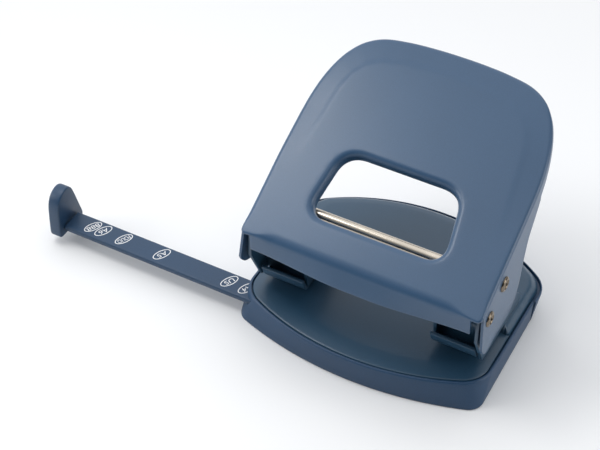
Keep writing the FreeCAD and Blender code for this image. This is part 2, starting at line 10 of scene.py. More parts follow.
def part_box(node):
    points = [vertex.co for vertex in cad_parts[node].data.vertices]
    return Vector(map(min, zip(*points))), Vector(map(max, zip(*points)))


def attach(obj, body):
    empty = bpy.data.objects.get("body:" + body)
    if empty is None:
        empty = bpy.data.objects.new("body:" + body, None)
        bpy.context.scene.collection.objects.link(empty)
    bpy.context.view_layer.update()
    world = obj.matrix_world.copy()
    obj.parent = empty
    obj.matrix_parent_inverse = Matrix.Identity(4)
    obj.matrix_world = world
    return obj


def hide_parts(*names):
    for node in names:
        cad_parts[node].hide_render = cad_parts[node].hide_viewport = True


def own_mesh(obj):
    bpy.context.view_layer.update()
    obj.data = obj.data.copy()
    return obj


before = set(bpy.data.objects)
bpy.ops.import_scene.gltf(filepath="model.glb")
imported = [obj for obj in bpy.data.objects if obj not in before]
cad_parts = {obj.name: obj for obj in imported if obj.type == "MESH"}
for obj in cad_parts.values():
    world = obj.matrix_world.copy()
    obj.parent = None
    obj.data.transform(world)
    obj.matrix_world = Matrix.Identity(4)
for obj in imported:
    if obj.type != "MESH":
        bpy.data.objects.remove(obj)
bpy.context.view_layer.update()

# Chip tray: the moulded plastic base that closes the punch from below and catches the paper chips.
# It is injection moulded with a drafted skirt, a ledge for the steel deck and a rim around the deck's edge.
# Four screws hold it to the deck, and the paper rail runs out through its left wall.
MM = 0.001
UP = (0, 0, 1)
SIDE_STEPS, CORNER_STEPS, BOW_STEPS = 10, 14, 40


def box_mm(node):
    """Lowest and highest corner of a CAD node, in millimetres."""
    low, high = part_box(node)
    return [c / MM for c in low], [c / MM for c in high]


def middle(low, high):
    """Centre of a box."""
    return [(a + b) / 2 for a, b in zip(low, high)]


def new_piece(name, points, faces, sharp=35.0):
    """Mesh object from points in millimetres, smooth-shaded up to the sharp angle in degrees."""
    mesh = bpy.data.meshes.new(name)
    mesh.from_pydata([Vector(p) * MM for p in points], [], faces)
    work = bmesh.new()
    work.from_mesh(mesh)
    bmesh.ops.remove_doubles(work, verts=work.verts, dist=0.002 * MM)
    bmesh.ops.recalc_face_normals(work, faces=work.faces)
    work.to_mesh(mesh)
    work.free()
    return shade(bpy.data.objects.new(name, mesh), sharp, link=True)


def shade(piece, sharp, link=False):
    """Smooth shading that breaks at the sharp angle."""
    if link:
        bpy.context.scene.collection.objects.link(piece)
    piece.data.polygons.foreach_set("use_smooth", [True] * len(piece.data.polygons))
    piece.data.set_sharp_from_angle(angle=math.radians(sharp))
    return piece


def finished(piece, sharp=35.0):
    """The piece with its modifiers applied."""
    graph = bpy.context.evaluated_depsgraph_get()
    mesh = bpy.data.meshes.new_from_object(piece.evaluated_get(graph))
    piece.modifiers.clear()
    piece.data = mesh
    return shade(piece, sharp)


def rounded(piece, width, steps=2, angle=40.0, sharp=35.0):
    """Bevels the piece's sharp edges to a width in millimetres."""
    bevel = piece.modifiers.new("edges", "BEVEL")
    bevel.width = width * MM
    bevel.segments = steps
    bevel.limit_method = "ANGLE"
    bevel.angle_limit = math.radians(angle)
    bevel.harden_normals = False
    return finished(piece, sharp)


def carved(piece, cutters, sharp=35.0):
    """The piece with the cutters' volumes taken out."""
    for cutter in cutters:
        cut = piece.modifiers.new("cut", "BOOLEAN")
        cut.operation = "DIFFERENCE"
        cut.solver = "EXACT"
        cut.object = cutter
    finished(piece, sharp)
    for cutter in cutters:
        bpy.data.objects.remove(cutter)
    return piece


def joined(name, pieces, sharp=35.0):
    """One piece made of several that are fixed together for good."""
    work = bmesh.new()
    for piece in pieces:
        work.from_mesh(piece.data)
        bpy.data.objects.remove(piece)
    mesh = bpy.data.meshes.new(name)
    work.to_mesh(mesh)
    work.free()
    return shade(bpy.data.objects.new(name, mesh), sharp, link=True)


def turned(name, profile, origin, axis, steps=48, sharp=35.0):
    """Body of revolution from (distance along the axis, radius) points; a radius of 0 closes it."""
    along = Vector(axis).normalized()
    across = along.orthogonal().normalized()
    third = along.cross(across)
    points, faces = [], []
    for reach, radius in profile:
        for i in range(steps):
            angle = 2 * math.pi * i / steps
            spoke = across * math.cos(angle) + third * math.sin(angle)
            points.append(Vector(origin) + along * reach + spoke * radius)
    for row in range(len(profile) - 1):
        for i in range(steps):
            j = (i + 1) % steps
            faces.append((row * steps + i, row * steps + j, (row + 1) * steps + j, (row + 1) * steps + i))
    return new_piece(name, points, faces, sharp)


def prism(name, outline, to_point, depth, sharp=35.0):
    """Plate from a closed outline; to_point turns (a, b, depth) into a point."""
    count = len(outline)
    points = [to_point(a, b, 0.0) for a, b in outline] + [to_point(a, b, depth) for a, b in outline]
    faces = [tuple(range(count)), tuple(range(count, 2 * count))]
    faces += [(i, (i + 1) % count, count + (i + 1) % count, count + i) for i in range(count)]
    return new_piece(name, points, faces, sharp)


def block(name, low, high):
    """Plain box used as a cutter."""
    outline = [(low[0], low[1]), (high[0], low[1]), (high[0], high[1]), (low[0], high[1])]
    return prism(name, outline, lambda a, b, d: (a, b, low[2] + d), high[2] - low[2])


def bore(centre, radius, start, end):
    """Upright round cutter between two heights above its centre."""
    return turned("bore", [(start, 0), (start, radius), (end, radius), (end, 0)], centre, UP)


def bowed_path(half, end_y, bow, corner, split_y):
    """Plan line from the left side, round a bowed end, to the right side."""
    way = 1 if end_y > split_y else -1
    centre_x, bow_y = half - corner, end_y - way * bow
    rise = math.sqrt((bow - corner) ** 2 - centre_x ** 2)
    turn = math.atan2(rise, centre_x)
    straight = bow_y + way * rise - split_y
    right = [(half, split_y + straight * i / SIDE_STEPS) for i in range(SIDE_STEPS)]
    for i in range(CORNER_STEPS):
        angle = turn * i / CORNER_STEPS
        right.append((centre_x + corner * math.cos(angle), bow_y + way * (rise + corner * math.sin(angle))))
    for i in range(BOW_STEPS + 1):
        angle = turn + (math.pi / 2 - turn) * i / BOW_STEPS
        right.append((bow * math.cos(angle), bow_y + way * bow * math.sin(angle)))
    return [(-x, y) for x, y in right] + [(x, y) for x, y in reversed(right[:-1])]


def curved(guide, steps):
    """Smooth plan curve through all the guide points but the first and last, which only steer its ends."""
    line = []
    for a, b, c, d in zip(guide, guide[1:], guide[2:], guide[3:]):
        a, b, c, d = Vector(a), Vector(b), Vector(c), Vector(d)
        for i in range(steps):
            t = i / steps
            line.append(0.5 * (
                b * 2 + (c - a) * t + (a * 2 - b * 5 + c * 4 - d) * t * t
                + (b * 3 - a - c * 3 + d) * t * t * t))
    return line + [Vector(guide[-2])]


def outward(path, way):
    """Unit normals in plan, out of a path that bowed_path made."""
    ends = [path[0]] + list(path) + [path[-1]]
    normals = []
    for i in range(len(path)):
        dx, dy = ends[i + 2][0] - ends[i][0], ends[i + 2][1] - ends[i][1]
        length = math.hypot(dx, dy)
        normals.append((way * -dy / length, way * dx / length))
    return normals


def skirt(name, foot, top, height, profile, way):
    """Closed tray section: a drafted wall swept along a path, with a floor between its sides."""
    normals = outward(top, way)
    points, faces, width = [], [], len(foot)
    for z, inset in profile:
        share = z / height
        for (x0, y0), (x1, y1), (nx, ny) in zip(foot, top, normals):
            points.append((x0 + (x1 - x0) * share - nx * inset, y0 + (y1 - y0) * share - ny * inset, z))
    last = len(profile) - 1
    split_y = foot[0][1]
    for row in range(last + 1):
        for column in (0, width - 1):
            x, _, z = points[row * width + column]
            points[row * width + column] = (x, split_y, z)
    for row in range(last):
        for i in range(width - 1):
            a = row * width + i
            faces.append((a, a + 1, a + 1 + width, a + width))
    faces.append(tuple(range(width)))
    faces.append(tuple(range(last * width, (last + 1) * width)))
    left = [row * width for row in range(last + 1)]
    right = [row * width + width - 1 for row in range(last, -1, -1)]
    faces.append(tuple(left + right))
    return new_piece(name, points, faces)


def group(name, inputs, outputs):
    """Empty shader group with the named inputs and outputs."""
    tree = bpy.data.node_groups.new(name, "ShaderNodeTree")
    for label, kind, value in inputs:
        socket = tree.interface.new_socket(name=label, in_out="INPUT", socket_type=kind)
        socket.default_value = value
    for label, kind in outputs:
        tree.interface.new_socket(name=label, in_out="OUTPUT", socket_type=kind)
    return tree, tree.nodes.new("NodeGroupInput"), tree.nodes.new("NodeGroupOutput")


def put_out(tree, outputs, color, roughness, height):
    """The finished group, with its three results joined to its outputs."""
    for name, value in (("Color", color), ("Roughness", roughness), ("Height", height)):
        tree.links.new(value, outputs.inputs[name])
    return tree


def add(tree, kind, values=None, **settings):
    """Node with its settings, and its inputs set or linked by name or number."""
    node = tree.nodes.new("ShaderNode" + kind)
    for key, value in settings.items():
        setattr(node, key, value)
    for key, value in (values or {}).items():
        if isinstance(value, bpy.types.NodeSocket):
            tree.links.new(value, node.inputs[key])
        else:
            node.inputs[key].default_value = value
    return node


def noise(tree, where, scale, detail=2.0, stretch=None):
    """Noise with about scale lumps per metre, pulled out along an axis if stretch is given."""
    if stretch:
        where = add(tree, "VectorMath", {0: where, 1: stretch}, operation="MULTIPLY").outputs[0]
    return add(tree, "TexNoise", {"Vector": where, "Scale": scale, "Detail": detail}).outputs[0]


def spread(tree, value, low, high, to_low=0.0, to_high=1.0):
    """Value mapped smoothly from one range to another."""
    return add(
        tree, "MapRange", {0: value, 1: low, 2: high, 3: to_low, 4: to_high},
        interpolation_type="SMOOTHSTEP").outputs[0]


def edge_mask(tree, radius):
    """1 on edges tighter than the radius, 0 on open surfaces."""
    soft = add(tree, "Bevel", {"Radius": radius * MM}, samples=4).outputs[0]
    true = add(tree, "NewGeometry").outputs["Normal"]
    match = add(tree, "VectorMath", {0: soft, 1: true}, operation="DOT_PRODUCT").outputs["Value"]
    return spread(tree, match, 0.995, 0.90)


def sums(tree, pairs):
    """Weighted sum of values."""
    total = None
    for value, weight in pairs:
        part = add(tree, "Math", {0: value, 1: weight}, operation="MULTIPLY").outputs[0]
        total = part if total is None else add(tree, "Math", {0: total, 1: part}).outputs[0]
    return total


def tinted(tree, tint, strength, light, mask):
    """The tint with its brightness varied by strength, then lightened towards light by the mask."""
    varied = add(tree, "HueSaturation", {"Color": tint, "Value": strength}).outputs[0]
    mix = add(tree, "Mix", {0: mask, 6: varied, 7: light}, data_type="RGBA")
    return mix.outputs[2]


def place_for(tree, inputs):
    """Object coordinates shifted by the group's seed, so that like pieces differ."""
    here = add(tree, "TexCoord").outputs["Object"]
    return add(tree, "VectorMath", {0: here, 1: inputs.outputs["Seed"]}).outputs[0]


FINISH_IN = [
    ("Tint", "NodeSocketColor", (0.1, 0.1, 0.1, 1.0)),
    ("Edge", "NodeSocketColor", (0.2, 0.2, 0.2, 1.0)),
    ("Seed", "NodeSocketFloat", 0.0),
    ("Roughness", "NodeSocketFloat", 0.5),
]
FINISH_OUT = [
    ("Color", "NodeSocketColor"), ("Roughness", "NodeSocketFloat"), ("Height", "NodeSocketFloat"),
]


def moulded_plastic():
    """Spark-eroded moulded plastic: fine grain, faint flow marks, slightly polished edges that are also
    lightened as a painted highlight.
    """
    tree, inputs, outputs = group("Moulded plastic", FINISH_IN, FINISH_OUT)
    where = place_for(tree, inputs)
    flow = noise(tree, where, 22.0, 3.0, (1.0, 1.0, 3.0))
    grain = noise(tree, where, 2600.0, 3.0)
    pits = add(tree, "TexVoronoi", {"Vector": where, "Scale": 1900.0}).outputs["Distance"]
    edge_highlight_and_wear = edge_mask(tree, 0.5)
    value = sums(tree, [
        (spread(tree, flow, 0.3, 0.7, 0.95, 1.05), 0.8), (spread(tree, grain, 0.3, 0.7), 0.2), (1.0, 0.1)])
    # Edges lightened towards the edge colour: painted highlight, with a little polish wear
    highlight_and_wear = sums(tree, [(edge_highlight_and_wear, 0.25)])
    color = tinted(tree, inputs.outputs["Tint"], value, inputs.outputs["Edge"], highlight_and_wear)
    rough = sums(tree, [
        (inputs.outputs["Roughness"], 1.0), (grain, 0.12), (flow, 0.08), (edge_highlight_and_wear, -0.10), (1.0, -0.1)])
    height = sums(tree, [(grain, 0.6), (pits, 0.4)])
    return put_out(tree, outputs, color, rough, height)


def finish(name, tree, tint, edge, seed=0.0, roughness=0.5, metallic=0.0, bump=0.05, coat=0.0, specular=0.5):
    """Material that a finish group drives; bump is the relief's depth in millimetres."""
    material = bpy.data.materials.new(name)
    material.use_nodes = True
    nodes = material.node_tree
    shader = nodes.nodes["Principled BSDF"]
    shader.inputs["Metallic"].default_value = metallic
    shader.inputs["Specular IOR Level"].default_value = specular
    shader.inputs["Coat Weight"].default_value = coat
    shader.inputs["Coat Roughness"].default_value = 0.25
    look = nodes.nodes.new("ShaderNodeGroup")
    look.node_tree = tree
    look.inputs["Tint"].default_value = (*tint, 1.0)
    look.inputs["Edge"].default_value = (*edge, 1.0)
    look.inputs["Seed"].default_value = seed
    look.inputs["Roughness"].default_value = roughness
    relief = add(nodes, "Bump", {"Height": look.outputs["Height"], "Strength": 1.0, "Distance": bump * MM})
    nodes.links.new(look.outputs["Color"], shader.inputs["Base Color"])
    nodes.links.new(look.outputs["Roughness"], shader.inputs["Roughness"])
    nodes.links.new(relief.outputs["Normal"], shader.inputs["Normal"])
    return material


def coated(piece, material):
    """Gives the whole piece one material."""
    piece.data.materials.clear()
    piece.data.materials.append(material)
    piece.data.polygons.foreach_set("material_index", [0] * len(piece.data.polygons))
    return piece


tray_low, tray_high = box_mm("chip_tray")
rail_low, rail_high = box_mm("paper_rail")
seam_top = box_mm("tray_door")[1][2]
SPLIT_Y = tray_high[1]
TRAY_END_Y = SPLIT_Y - 0.1
FOOT_BOW, FOOT_CORNER = 160.0, 7.0
SEAM_BOW, SEAM_CORNER = 111.6, 14.6
# The foot is drawn in by the tuck, from its start back to the door
TUCK, TUCK_START = 1.1, tray_low[1] + 16.0


def tucked(x, y):
    """Foot point drawn in towards the rear."""
    return x - math.copysign(TUCK * max(0.0, y - TUCK_START) / (SPLIT_Y - TUCK_START), x), y


front_foot = [
    tucked(x, y) for x, y in bowed_path(tray_high[0], tray_low[1], FOOT_BOW, FOOT_CORNER, TRAY_END_Y)]
front_seam = bowed_path(tray_high[0] - 0.5, tray_low[1], SEAM_BOW, SEAM_CORNER, TRAY_END_Y)
# Heights up the wall and how far in it stands: foot, wall, rolled lip at the seam, ledge and inner wall
TRAY_WALL = [
    (0.0, 4.0), (0.0, 0.7), (0.08, 0.35), (0.3, 0.1), (0.65, 0.0), (3.0, 0.0), (6.0, 0.0), (9.0, 0.0),
    (11.7, 0.0), (12.05, 0.06), (12.35, 0.22), (12.52, 0.45), (12.58, 0.75), (12.5, 1.08), (12.3, 1.26),
    (11.9, 1.34), (11.2, 1.34), (11.2, 3.4), (6.0, 3.0), (2.2, 2.4), (1.6, 3.2),
]
tray = skirt("chip_tray_body", front_foot, front_seam, seam_top, TRAY_WALL, -1)
HOLE_GAP, HOLE_REAR_GAP = 0.15, 0.65
cutters = [block(
    "rail_hole", (-80, rail_low[1] - HOLE_GAP, rail_low[2] - HOLE_GAP),
    (-40, rail_high[1] + HOLE_REAR_GAP, rail_high[2] + HOLE_GAP))]
PAD_RADIUS, PAD_DEPTH = 6.0, 1.0
PAD_CENTRES = [(44.0, -38.0), (38.0, 4.0)]
SCREW_CENTRES, SCREW_WELL, WELL_DEPTH = [(48.0, -13.0), (48.0, 6.0)], 2.9, 1.2
for side in (-1, 1):
    for x, y in PAD_CENTRES:
        cutters.append(bore((side * x, y, 0), PAD_RADIUS + 0.15, -1, PAD_DEPTH))
    for x, y in SCREW_CENTRES:
        cutters.append(bore((side * x, y, 0), SCREW_WELL, -1, WELL_DEPTH))
carved(tray, cutters)
plastic = moulded_plastic()
TRAY_TINT, TRAY_EDGE = (0.012, 0.050, 0.115), (0.04, 0.09, 0.17)
tray_plastic = finish("tray plastic", plastic, TRAY_TINT, TRAY_EDGE, 0.0, 0.46, bump=0.02)
coated(tray, tray_plastic)
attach(tray, "base")
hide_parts("chip_tray")

# Emptying door: the rear of the tray, moulded with it and bent down on a film hinge to let the chips out.
# Its seam to the deck is wider than the front tray's, so that it can swing.
door_low, door_high = box_mm("tray_door")
DOOR_START_Y = door_low[1] + 0.25
DOOR_FOOT_BOW, DOOR_FOOT_CORNER = 88.0, 22.0
DOOR_SEAM_BOW, DOOR_SEAM_CORNER = 89.0, 13.5
rear_foot = bowed_path(
    door_high[0] - TUCK, door_high[1] - 2.4, DOOR_FOOT_BOW, DOOR_FOOT_CORNER, DOOR_START_Y)
rear_seam = bowed_path(
    door_high[0] + 0.4, door_high[1] - 1.4, DOOR_SEAM_BOW, DOOR_SEAM_CORNER, DOOR_START_Y)
# The tray's wall with a thinner lip above the ledge
LEDGE_Z, LIP_INSET, LIP_THINNED = 11, 0.9, 0.5
DOOR_WALL = [
    (z, inset if inset < LIP_INSET or z < LEDGE_Z else inset - LIP_THINNED) for z, inset in TRAY_WALL]
door = rounded(skirt("emptying_door", rear_foot, rear_seam, seam_top, DOOR_WALL, 1), 0.3, 2, 60)
coated(door, finish("door plastic", plastic, TRAY_TINT, TRAY_EDGE, 3.7, 0.46, bump=0.02))
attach(door, "door")
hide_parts("tray_door")

# Foot pads: four soft rubber discs pressed into pockets in the tray's floor, flush with it.


def soft_rubber():
    """Matt rubber with a dusty bloom and fine pores."""
    tree, inputs, outputs = group("Soft rubber", FINISH_IN, FINISH_OUT)
    where = place_for(tree, inputs)
    bloom = noise(tree, where, 160.0, 4.0)
    pores = add(tree, "TexVoronoi", {"Vector": where, "Scale": 2400.0}).outputs["Distance"]
    value = sums(tree, [(spread(tree, bloom, 0.3, 0.7, 0.85, 1.2), 1.0)])
    dust = sums(tree, [(spread(tree, bloom, 0.55, 0.8), 0.3), (edge_mask(tree, 0.4), 0.3)])
    color = tinted(tree, inputs.outputs["Tint"], value, inputs.outputs["Edge"], dust)
    rough = sums(tree, [(inputs.outputs["Roughness"], 1.0), (bloom, 0.1)])
    return put_out(tree, outputs, color, rough, pores)


rubber = finish("pad rubber", soft_rubber(), (0.02, 0.02, 0.022), (0.08, 0.08, 0.08), 1.0, 0.75, bump=0.03)
# A shallow ring groove in the face, and a rounded rim
PAD_PROFILE = [
    (0.0, 0), (0.0, 2.0), (0.1, 2.2), (0.1, 3.8), (0.0, 4.0), (0.0, 5.6), (0.12, 5.9), (0.4, PAD_RADIUS),
    (PAD_DEPTH, PAD_RADIUS), (PAD_DEPTH, 0)]
pads = [turned("pad", PAD_PROFILE, (side * x, y, 0), UP) for side in (-1, 1) for x, y in PAD_CENTRES]
pads = coated(joined("rubber_foot_pads", pads), rubber)
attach(pads, "base")
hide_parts("foot_pads")

# Tray screws: four cross-recessed, zinc-plated screws that go up through the tray's bosses into the deck.
# Their heads sit in wells in the tray's floor.


def eased_edges(piece, width):
    """Small bevel on a piece whose own edges are sharp."""
    bevel = piece.modifiers.new("edges", "BEVEL")
    bevel.width, bevel.segments = width * MM, 2
    bevel.angle_limit = math.radians(50)
    return piece


def plated_metal():
    """Plated or polished metal: faint handling marks, fine streaks, and edges lightened as a painted
    highlight with a little rubbing.
    """
    tree, inputs, outputs = group("Plated metal", FINISH_IN, FINISH_OUT)
    where = place_for(tree, inputs)
    cloud = noise(tree, where, 120.0, 4.0)
    streaks = noise(tree, where, 700.0, 2.0, (0.06, 1.0, 1.0))
    fine = noise(tree, where, 3200.0, 2.0)
    edge_highlight_and_wear = edge_mask(tree, 0.25)
    value = sums(tree, [(spread(tree, cloud, 0.3, 0.7, 0.93, 1.05), 1.0)])
    # Edges lightened fully towards the edge colour: painted highlight, with a little rubbing wear
    color = tinted(tree, inputs.outputs["Tint"], value, inputs.outputs["Edge"], edge_highlight_and_wear)
    rough = sums(tree, [
        (inputs.outputs["Roughness"], 1.0), (spread(tree, cloud, 0.4, 0.7), 0.08), (streaks, 0.1),
        (1.0, -0.06)])
    height = sums(tree, [(streaks, 0.6), (fine, 0.4)])
    return put_out(tree, outputs, color, rough, height)


metal = plated_metal()
zinc = finish("zinc plate", metal, (0.50, 0.52, 0.54), (0.75, 0.76, 0.78), 2.0, 0.34, metallic=1.0, bump=0.01)
screws = eased_edges(coated(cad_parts["tray_screws"], zinc), 0.12)

# Rail channel: a dark moulded trough under the deck that guides the paper rail, with a leaf spring over it
# that keeps the rail where the user leaves it. Both are hidden once the deck is on.
channel_plastic = finish(
    "channel plastic", plastic, (0.02, 0.022, 0.025), (0.06, 0.06, 0.065), 5.0, 0.55, bump=0.02)
channel = eased_edges(coated(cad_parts["rail_channel"], channel_plastic), 0.15)
spring_steel = finish(
    "spring steel", metal, (0.33, 0.34, 0.36), (0.6, 0.6, 0.62), 4.0, 0.30, metallic=1.0, bump=0.01)
leaf = coated(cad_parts["rail_leaf_spring"], spring_steel)

# Deck plate: pressed from 1.5 mm steel and powder coated. Its edge rolls down into the tray's seam, the front
# is the paper table, and the raised rear platform's front step is the stop that the paper is pushed against.


def satin_paint():
    """Powder coat: orange peel, faint mottling, and edges lightened mostly as a painted highlight, with a
    little thinner paint.
    """
    tree, inputs, outputs = group("Satin paint", FINISH_IN, FINISH_OUT)
    where = place_for(tree, inputs)
    cloud = noise(tree, where, 18.0, 3.0)
    peel = noise(tree, where, 620.0, 2.0)
    grit = noise(tree, where, 3800.0, 2.0)
    edge_highlight_and_wear = edge_mask(tree, 0.7)
    value = sums(tree, [
        (spread(tree, cloud, 0.3, 0.7, 0.96, 1.04), 0.9), (spread(tree, grit, 0.3, 0.7), 0.16), (1.0, 0.02)])
    # Lighter edges: mostly painted highlight for the light that rounded edges catch, with a little paint wear
    highlight_and_wear = sums(tree, [(edge_highlight_and_wear, 0.35)])
    color = tinted(tree, inputs.outputs["Tint"], value, inputs.outputs["Edge"], highlight_and_wear)
    rough = sums(tree, [
        (inputs.outputs["Roughness"], 1.0), (peel, 0.06), (cloud, 0.06), (edge_highlight_and_wear, -0.06), (1.0, -0.06)])
    height = sums(tree, [(peel, 0.7), (grit, 0.3)])
    return put_out(tree, outputs, color, rough, height)


def distances(points, line):
    """Distance from each plan point to a polyline, with numpy."""
    p = np.array(points, float)[:, None, :]
    a = np.array(line[:-1], float)[None, :, :]
    d = np.array(line[1:], float)[None, :, :] - a
    t = np.clip(((p - a) * d).sum(2) / np.maximum((d * d).sum(2), 1e-12), 0, 1)
    return np.sqrt((((a + t[..., None] * d) - p) ** 2).sum(2)).min(1)


def loop_distances(points, loop):
    """Distance from each plan point to a closed loop."""
    return distances(points, loop + loop[:1])


def within(points, loop):
    """Whether each plan point lies inside a closed loop, with numpy."""
    x, y = np.array(points, float).T
    inside = np.zeros(len(x), bool)
    for (x0, y0), (x1, y1) in zip(loop, loop[1:] + loop[:1]):
        if y0 != y1:
            inside ^= ((y0 > y) != (y1 > y)) & (x < (x1 - x0) * (y - y0) / (y1 - y0) + x0)
    return inside


def filled(loops, holes, loose):
    """Triangles over the area inside the first loop and outside the holes, through every point given."""
    points, edges = [], []
    for loop in loops + holes:
        first = len(points)
        points += loop
        edges += [(first + i, first + (i + 1) % len(loop)) for i in range(len(loop))]
    points += loose
    out = delaunay_2d_cdt([Vector(p) for p in points], edges, [], 0, 1e-5)
    places = [(v.x, v.y) for v in out[0]]
    centres = [tuple(sum(places[i][k] for i in face) / len(face) for k in (0, 1)) for face in out[2]]
    keep = within(centres, loops[0])
    for hole in holes:
        keep &= ~within(centres, hole)
    return places, [tuple(face) for face, kept in zip(out[2], keep) if kept]


def smooth(value, low, high):
    """0 below low, 1 above high, and eased between."""
    share = min(1.0, max(0.0, (value - low) / (high - low)))
    return share * share * (3 - 2 * share)


deck_low, deck_high = box_mm("deck_plate")
die_low, die_high = box_mm("right_die")
DECK_TOP, PLATFORM_TOP, SHEET = die_high[2], deck_high[2], 1.5
DIE_X, DIE_Y, _ = middle(die_low, die_high)
DIE_RADIUS = 5.0
BACK_STOP_Y = DIE_Y + 12.0
FRONT_BOW, FRONT_CORNER = 110.0, 13.0
REAR_BOW, REAR_CORNER, LEAST_CORNER = 88.0, 12.5, 1.5
# The band round the edge slopes down to the roll at its rim
BAND, BAND_DROP, BAND_CURVE, EDGE_ROLL = 8.5, 1.65, 1.1, 0.6
RISE_CURVE = 1.1
PLATFORM = {"half": 52.4, "rear_y": 38.6}


def deck_loop(inset, half=deck_high[0], front_y=deck_low[1], rear_y=deck_high[1] - 1.8):
    """Closed outline of the deck, drawn in by an inset."""
    front = bowed_path(half - inset, front_y + inset, FRONT_BOW - inset, FRONT_CORNER - inset, 0.0)
    rear = bowed_path(
        half - inset, rear_y - inset, REAR_BOW - inset, max(REAR_CORNER - inset, LEAST_CORNER), 0.0)
    return front + rear[-2:0:-1]


def deck_height(x, y, from_edge, from_platform, on_platform):
    """Height of the deck's top at a plan place, with the band, the rolled rim and the raised platform."""
    z = DECK_TOP - BAND_DROP * (1 - min(from_edge, BAND) / BAND) ** BAND_CURVE
    if from_edge < EDGE_ROLL:
        z -= EDGE_ROLL - math.sqrt(max(EDGE_ROLL ** 2 - (EDGE_ROLL - from_edge) ** 2, 0.0))
    share = 1.0 if on_platform else from_edge / max(from_edge + from_platform, 1e-6)
    rise = math.sin(min(share, 1.0) * math.pi / 2) ** RISE_CURVE
    lift = 1.0 if y > BACK_STOP_Y + STEP_ROWS[-1][0] else 0.0
    for (a, low), (b, high) in zip(STEP_ROWS, STEP_ROWS[1:]):
        if BACK_STOP_Y + a < y <= BACK_STOP_Y + b:
            lift = low + (high - low) * (y - BACK_STOP_Y - a) / (b - a)
    return z + (PLATFORM_TOP - DECK_TOP) * rise * lift


edge_line = deck_loop(0.0)
platform_line = deck_loop(0.0, **PLATFORM)
RINGS = (0.0, 0.12, 0.3, 0.55, 0.9, 1.5, 2.2, 3.0, 4.0, 5.0, 6.0, 7.0, 8.0, 9.0)
rings = [deck_loop(inset) for inset in RINGS]
# The platform's front step: how far behind its foot, and what share of the rise is reached there
STEP_ROWS = ((-0.05, 0.0), (0.0, 0.0), (0.06, 0.80), (0.16, 0.88), (0.4, 0.95), (0.8, 0.99), (1.2, 1.0))
STEP_CLEAR = 1.6
loose = []
for ring in rings[1:]:
    loose += ring
for reach, _ in STEP_ROWS:
    loose += [(x * 1.5, BACK_STOP_Y + reach) for x in range(-36, 37)]
for inset in (-0.8, 0.0, 0.8, 1.6):
    loose += [p for p in deck_loop(inset, **PLATFORM) if p[1] > BACK_STOP_Y + STEP_CLEAR]
CELL = 2.5
grid = [((x + (y % 2) / 2) * CELL, y * CELL) for x in range(-20, 21) for y in range(-18, 18)]
clear = (loop_distances(grid, rings[-1]) > 1.2) & within(grid, rings[-1])
loose += [p for p, ok in zip(grid, clear) if ok and abs(p[1] - BACK_STOP_Y - 0.5) > STEP_CLEAR]
ok = within(loose, edge_line) & (loop_distances(loose, edge_line) > 0.05)
loose = [p for p, good in zip(loose, ok) if good]
DIE_ANGLES = [2 * math.pi * i / 40 for i in range(40)]
die_loops = [
    [(side * DIE_X + DIE_RADIUS * math.cos(a), DIE_Y + DIE_RADIUS * math.sin(a)) for a in DIE_ANGLES]
    for side in (-1, 1)]
for loop in die_loops:
    blocked = (loop_distances(loose, loop) < 0.7) | within(loose, loop)
    loose = [p for p, bad in zip(loose, blocked) if not bad]
places, faces = filled([edge_line], die_loops, loose)
edge_far = loop_distances(places, edge_line)
platform_far = loop_distances(places, platform_line)
on_platform = within(places, platform_line)
points = [
    (x, y, deck_height(x, y, d, reach, on))
    for (x, y), d, reach, on in zip(places, edge_far, platform_far, on_platform)]
# The rim's points in order, and the same points again at the foot of the turned-down edge
first, rim = len(points), {}
for index, ((x, y), d) in enumerate(zip(places, edge_far)):
    if d < 1e-3:
        rim[(round(x, 3), round(y, 3))] = index
order = [rim[(round(x, 3), round(y, 3))] for x, y in edge_line if (round(x, 3), round(y, 3)) in rim]
points += [(points[index][0], points[index][1], deck_low[2] + 0.4) for index in order]
for i in range(len(order)):
    j = (i + 1) % len(order)
    faces.append((order[i], order[j], first + j, first + i))
deck = new_piece("deck", points, faces, 50)
if deck.data.polygons[0].normal.z < 0:
    deck.data.flip_normals()
wall = deck.modifiers.new("sheet", "SOLIDIFY")
wall.thickness, wall.offset, wall.use_even_offset = (SHEET - 0.1) * MM, -1.0, False
finished(deck, 50)
paint = satin_paint()
# Deck tint: the paint's blue, set darker than the handle's same paint partly as painted shade for the
# handle's shadow over the deck and brackets
DECK_TINT_AND_SHADE, DECK_EDGE = (0.020, 0.062, 0.112), (0.05, 0.10, 0.16)
deck_paint = finish("deck paint", paint, DECK_TINT_AND_SHADE, DECK_EDGE, 6.0, 0.34, bump=0.012, coat=0.1)
coated(deck, deck_paint)
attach(deck, "base")
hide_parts("deck_plate")

# Dies: two hardened steel rings pressed into the deck, 80 mm apart, that the punches shear the paper against.
tool_steel = finish(
    "tool steel", metal, (0.40, 0.41, 0.43), (0.65, 0.66, 0.68), 7.0, 0.28, metallic=1.0, bump=0.01)
DIE_PROFILE = [
    (0, 2.85), (0, 4.8), (0.2, 4.97), (3.0, 4.97), (3.15, 4.85), (3.2, 4.6), (3.2, 3.15), (3.12, 2.95),
    (2.9, 2.82), (0, 2.85)]
for side, name in ((-1, "left"), (1, "right")):
    low, high = box_mm(name + "_die")
    ring = turned(name + "_die_ring", DIE_PROFILE, (side * DIE_X, DIE_Y, low[2]), UP, sharp=50)
    coated(ring, tool_steel)
    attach(ring, "base")
    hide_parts(name + "_die")

# Brackets: one for each punch, folded from 1.5 mm steel and painted with the deck. The floor turns up into a
# flared paper lip in front, two walls carry the guide plate, and the outer ear holds the handle's fulcrum.


def arc(before, tip, after, steps):
    """Points of a smooth bend that leaves one line and joins the next."""
    shares = [i / steps for i in range(steps + 1)]
    return [before * (1 - t) ** 2 + tip * 2 * t * (1 - t) + after * t * t for t in shares]


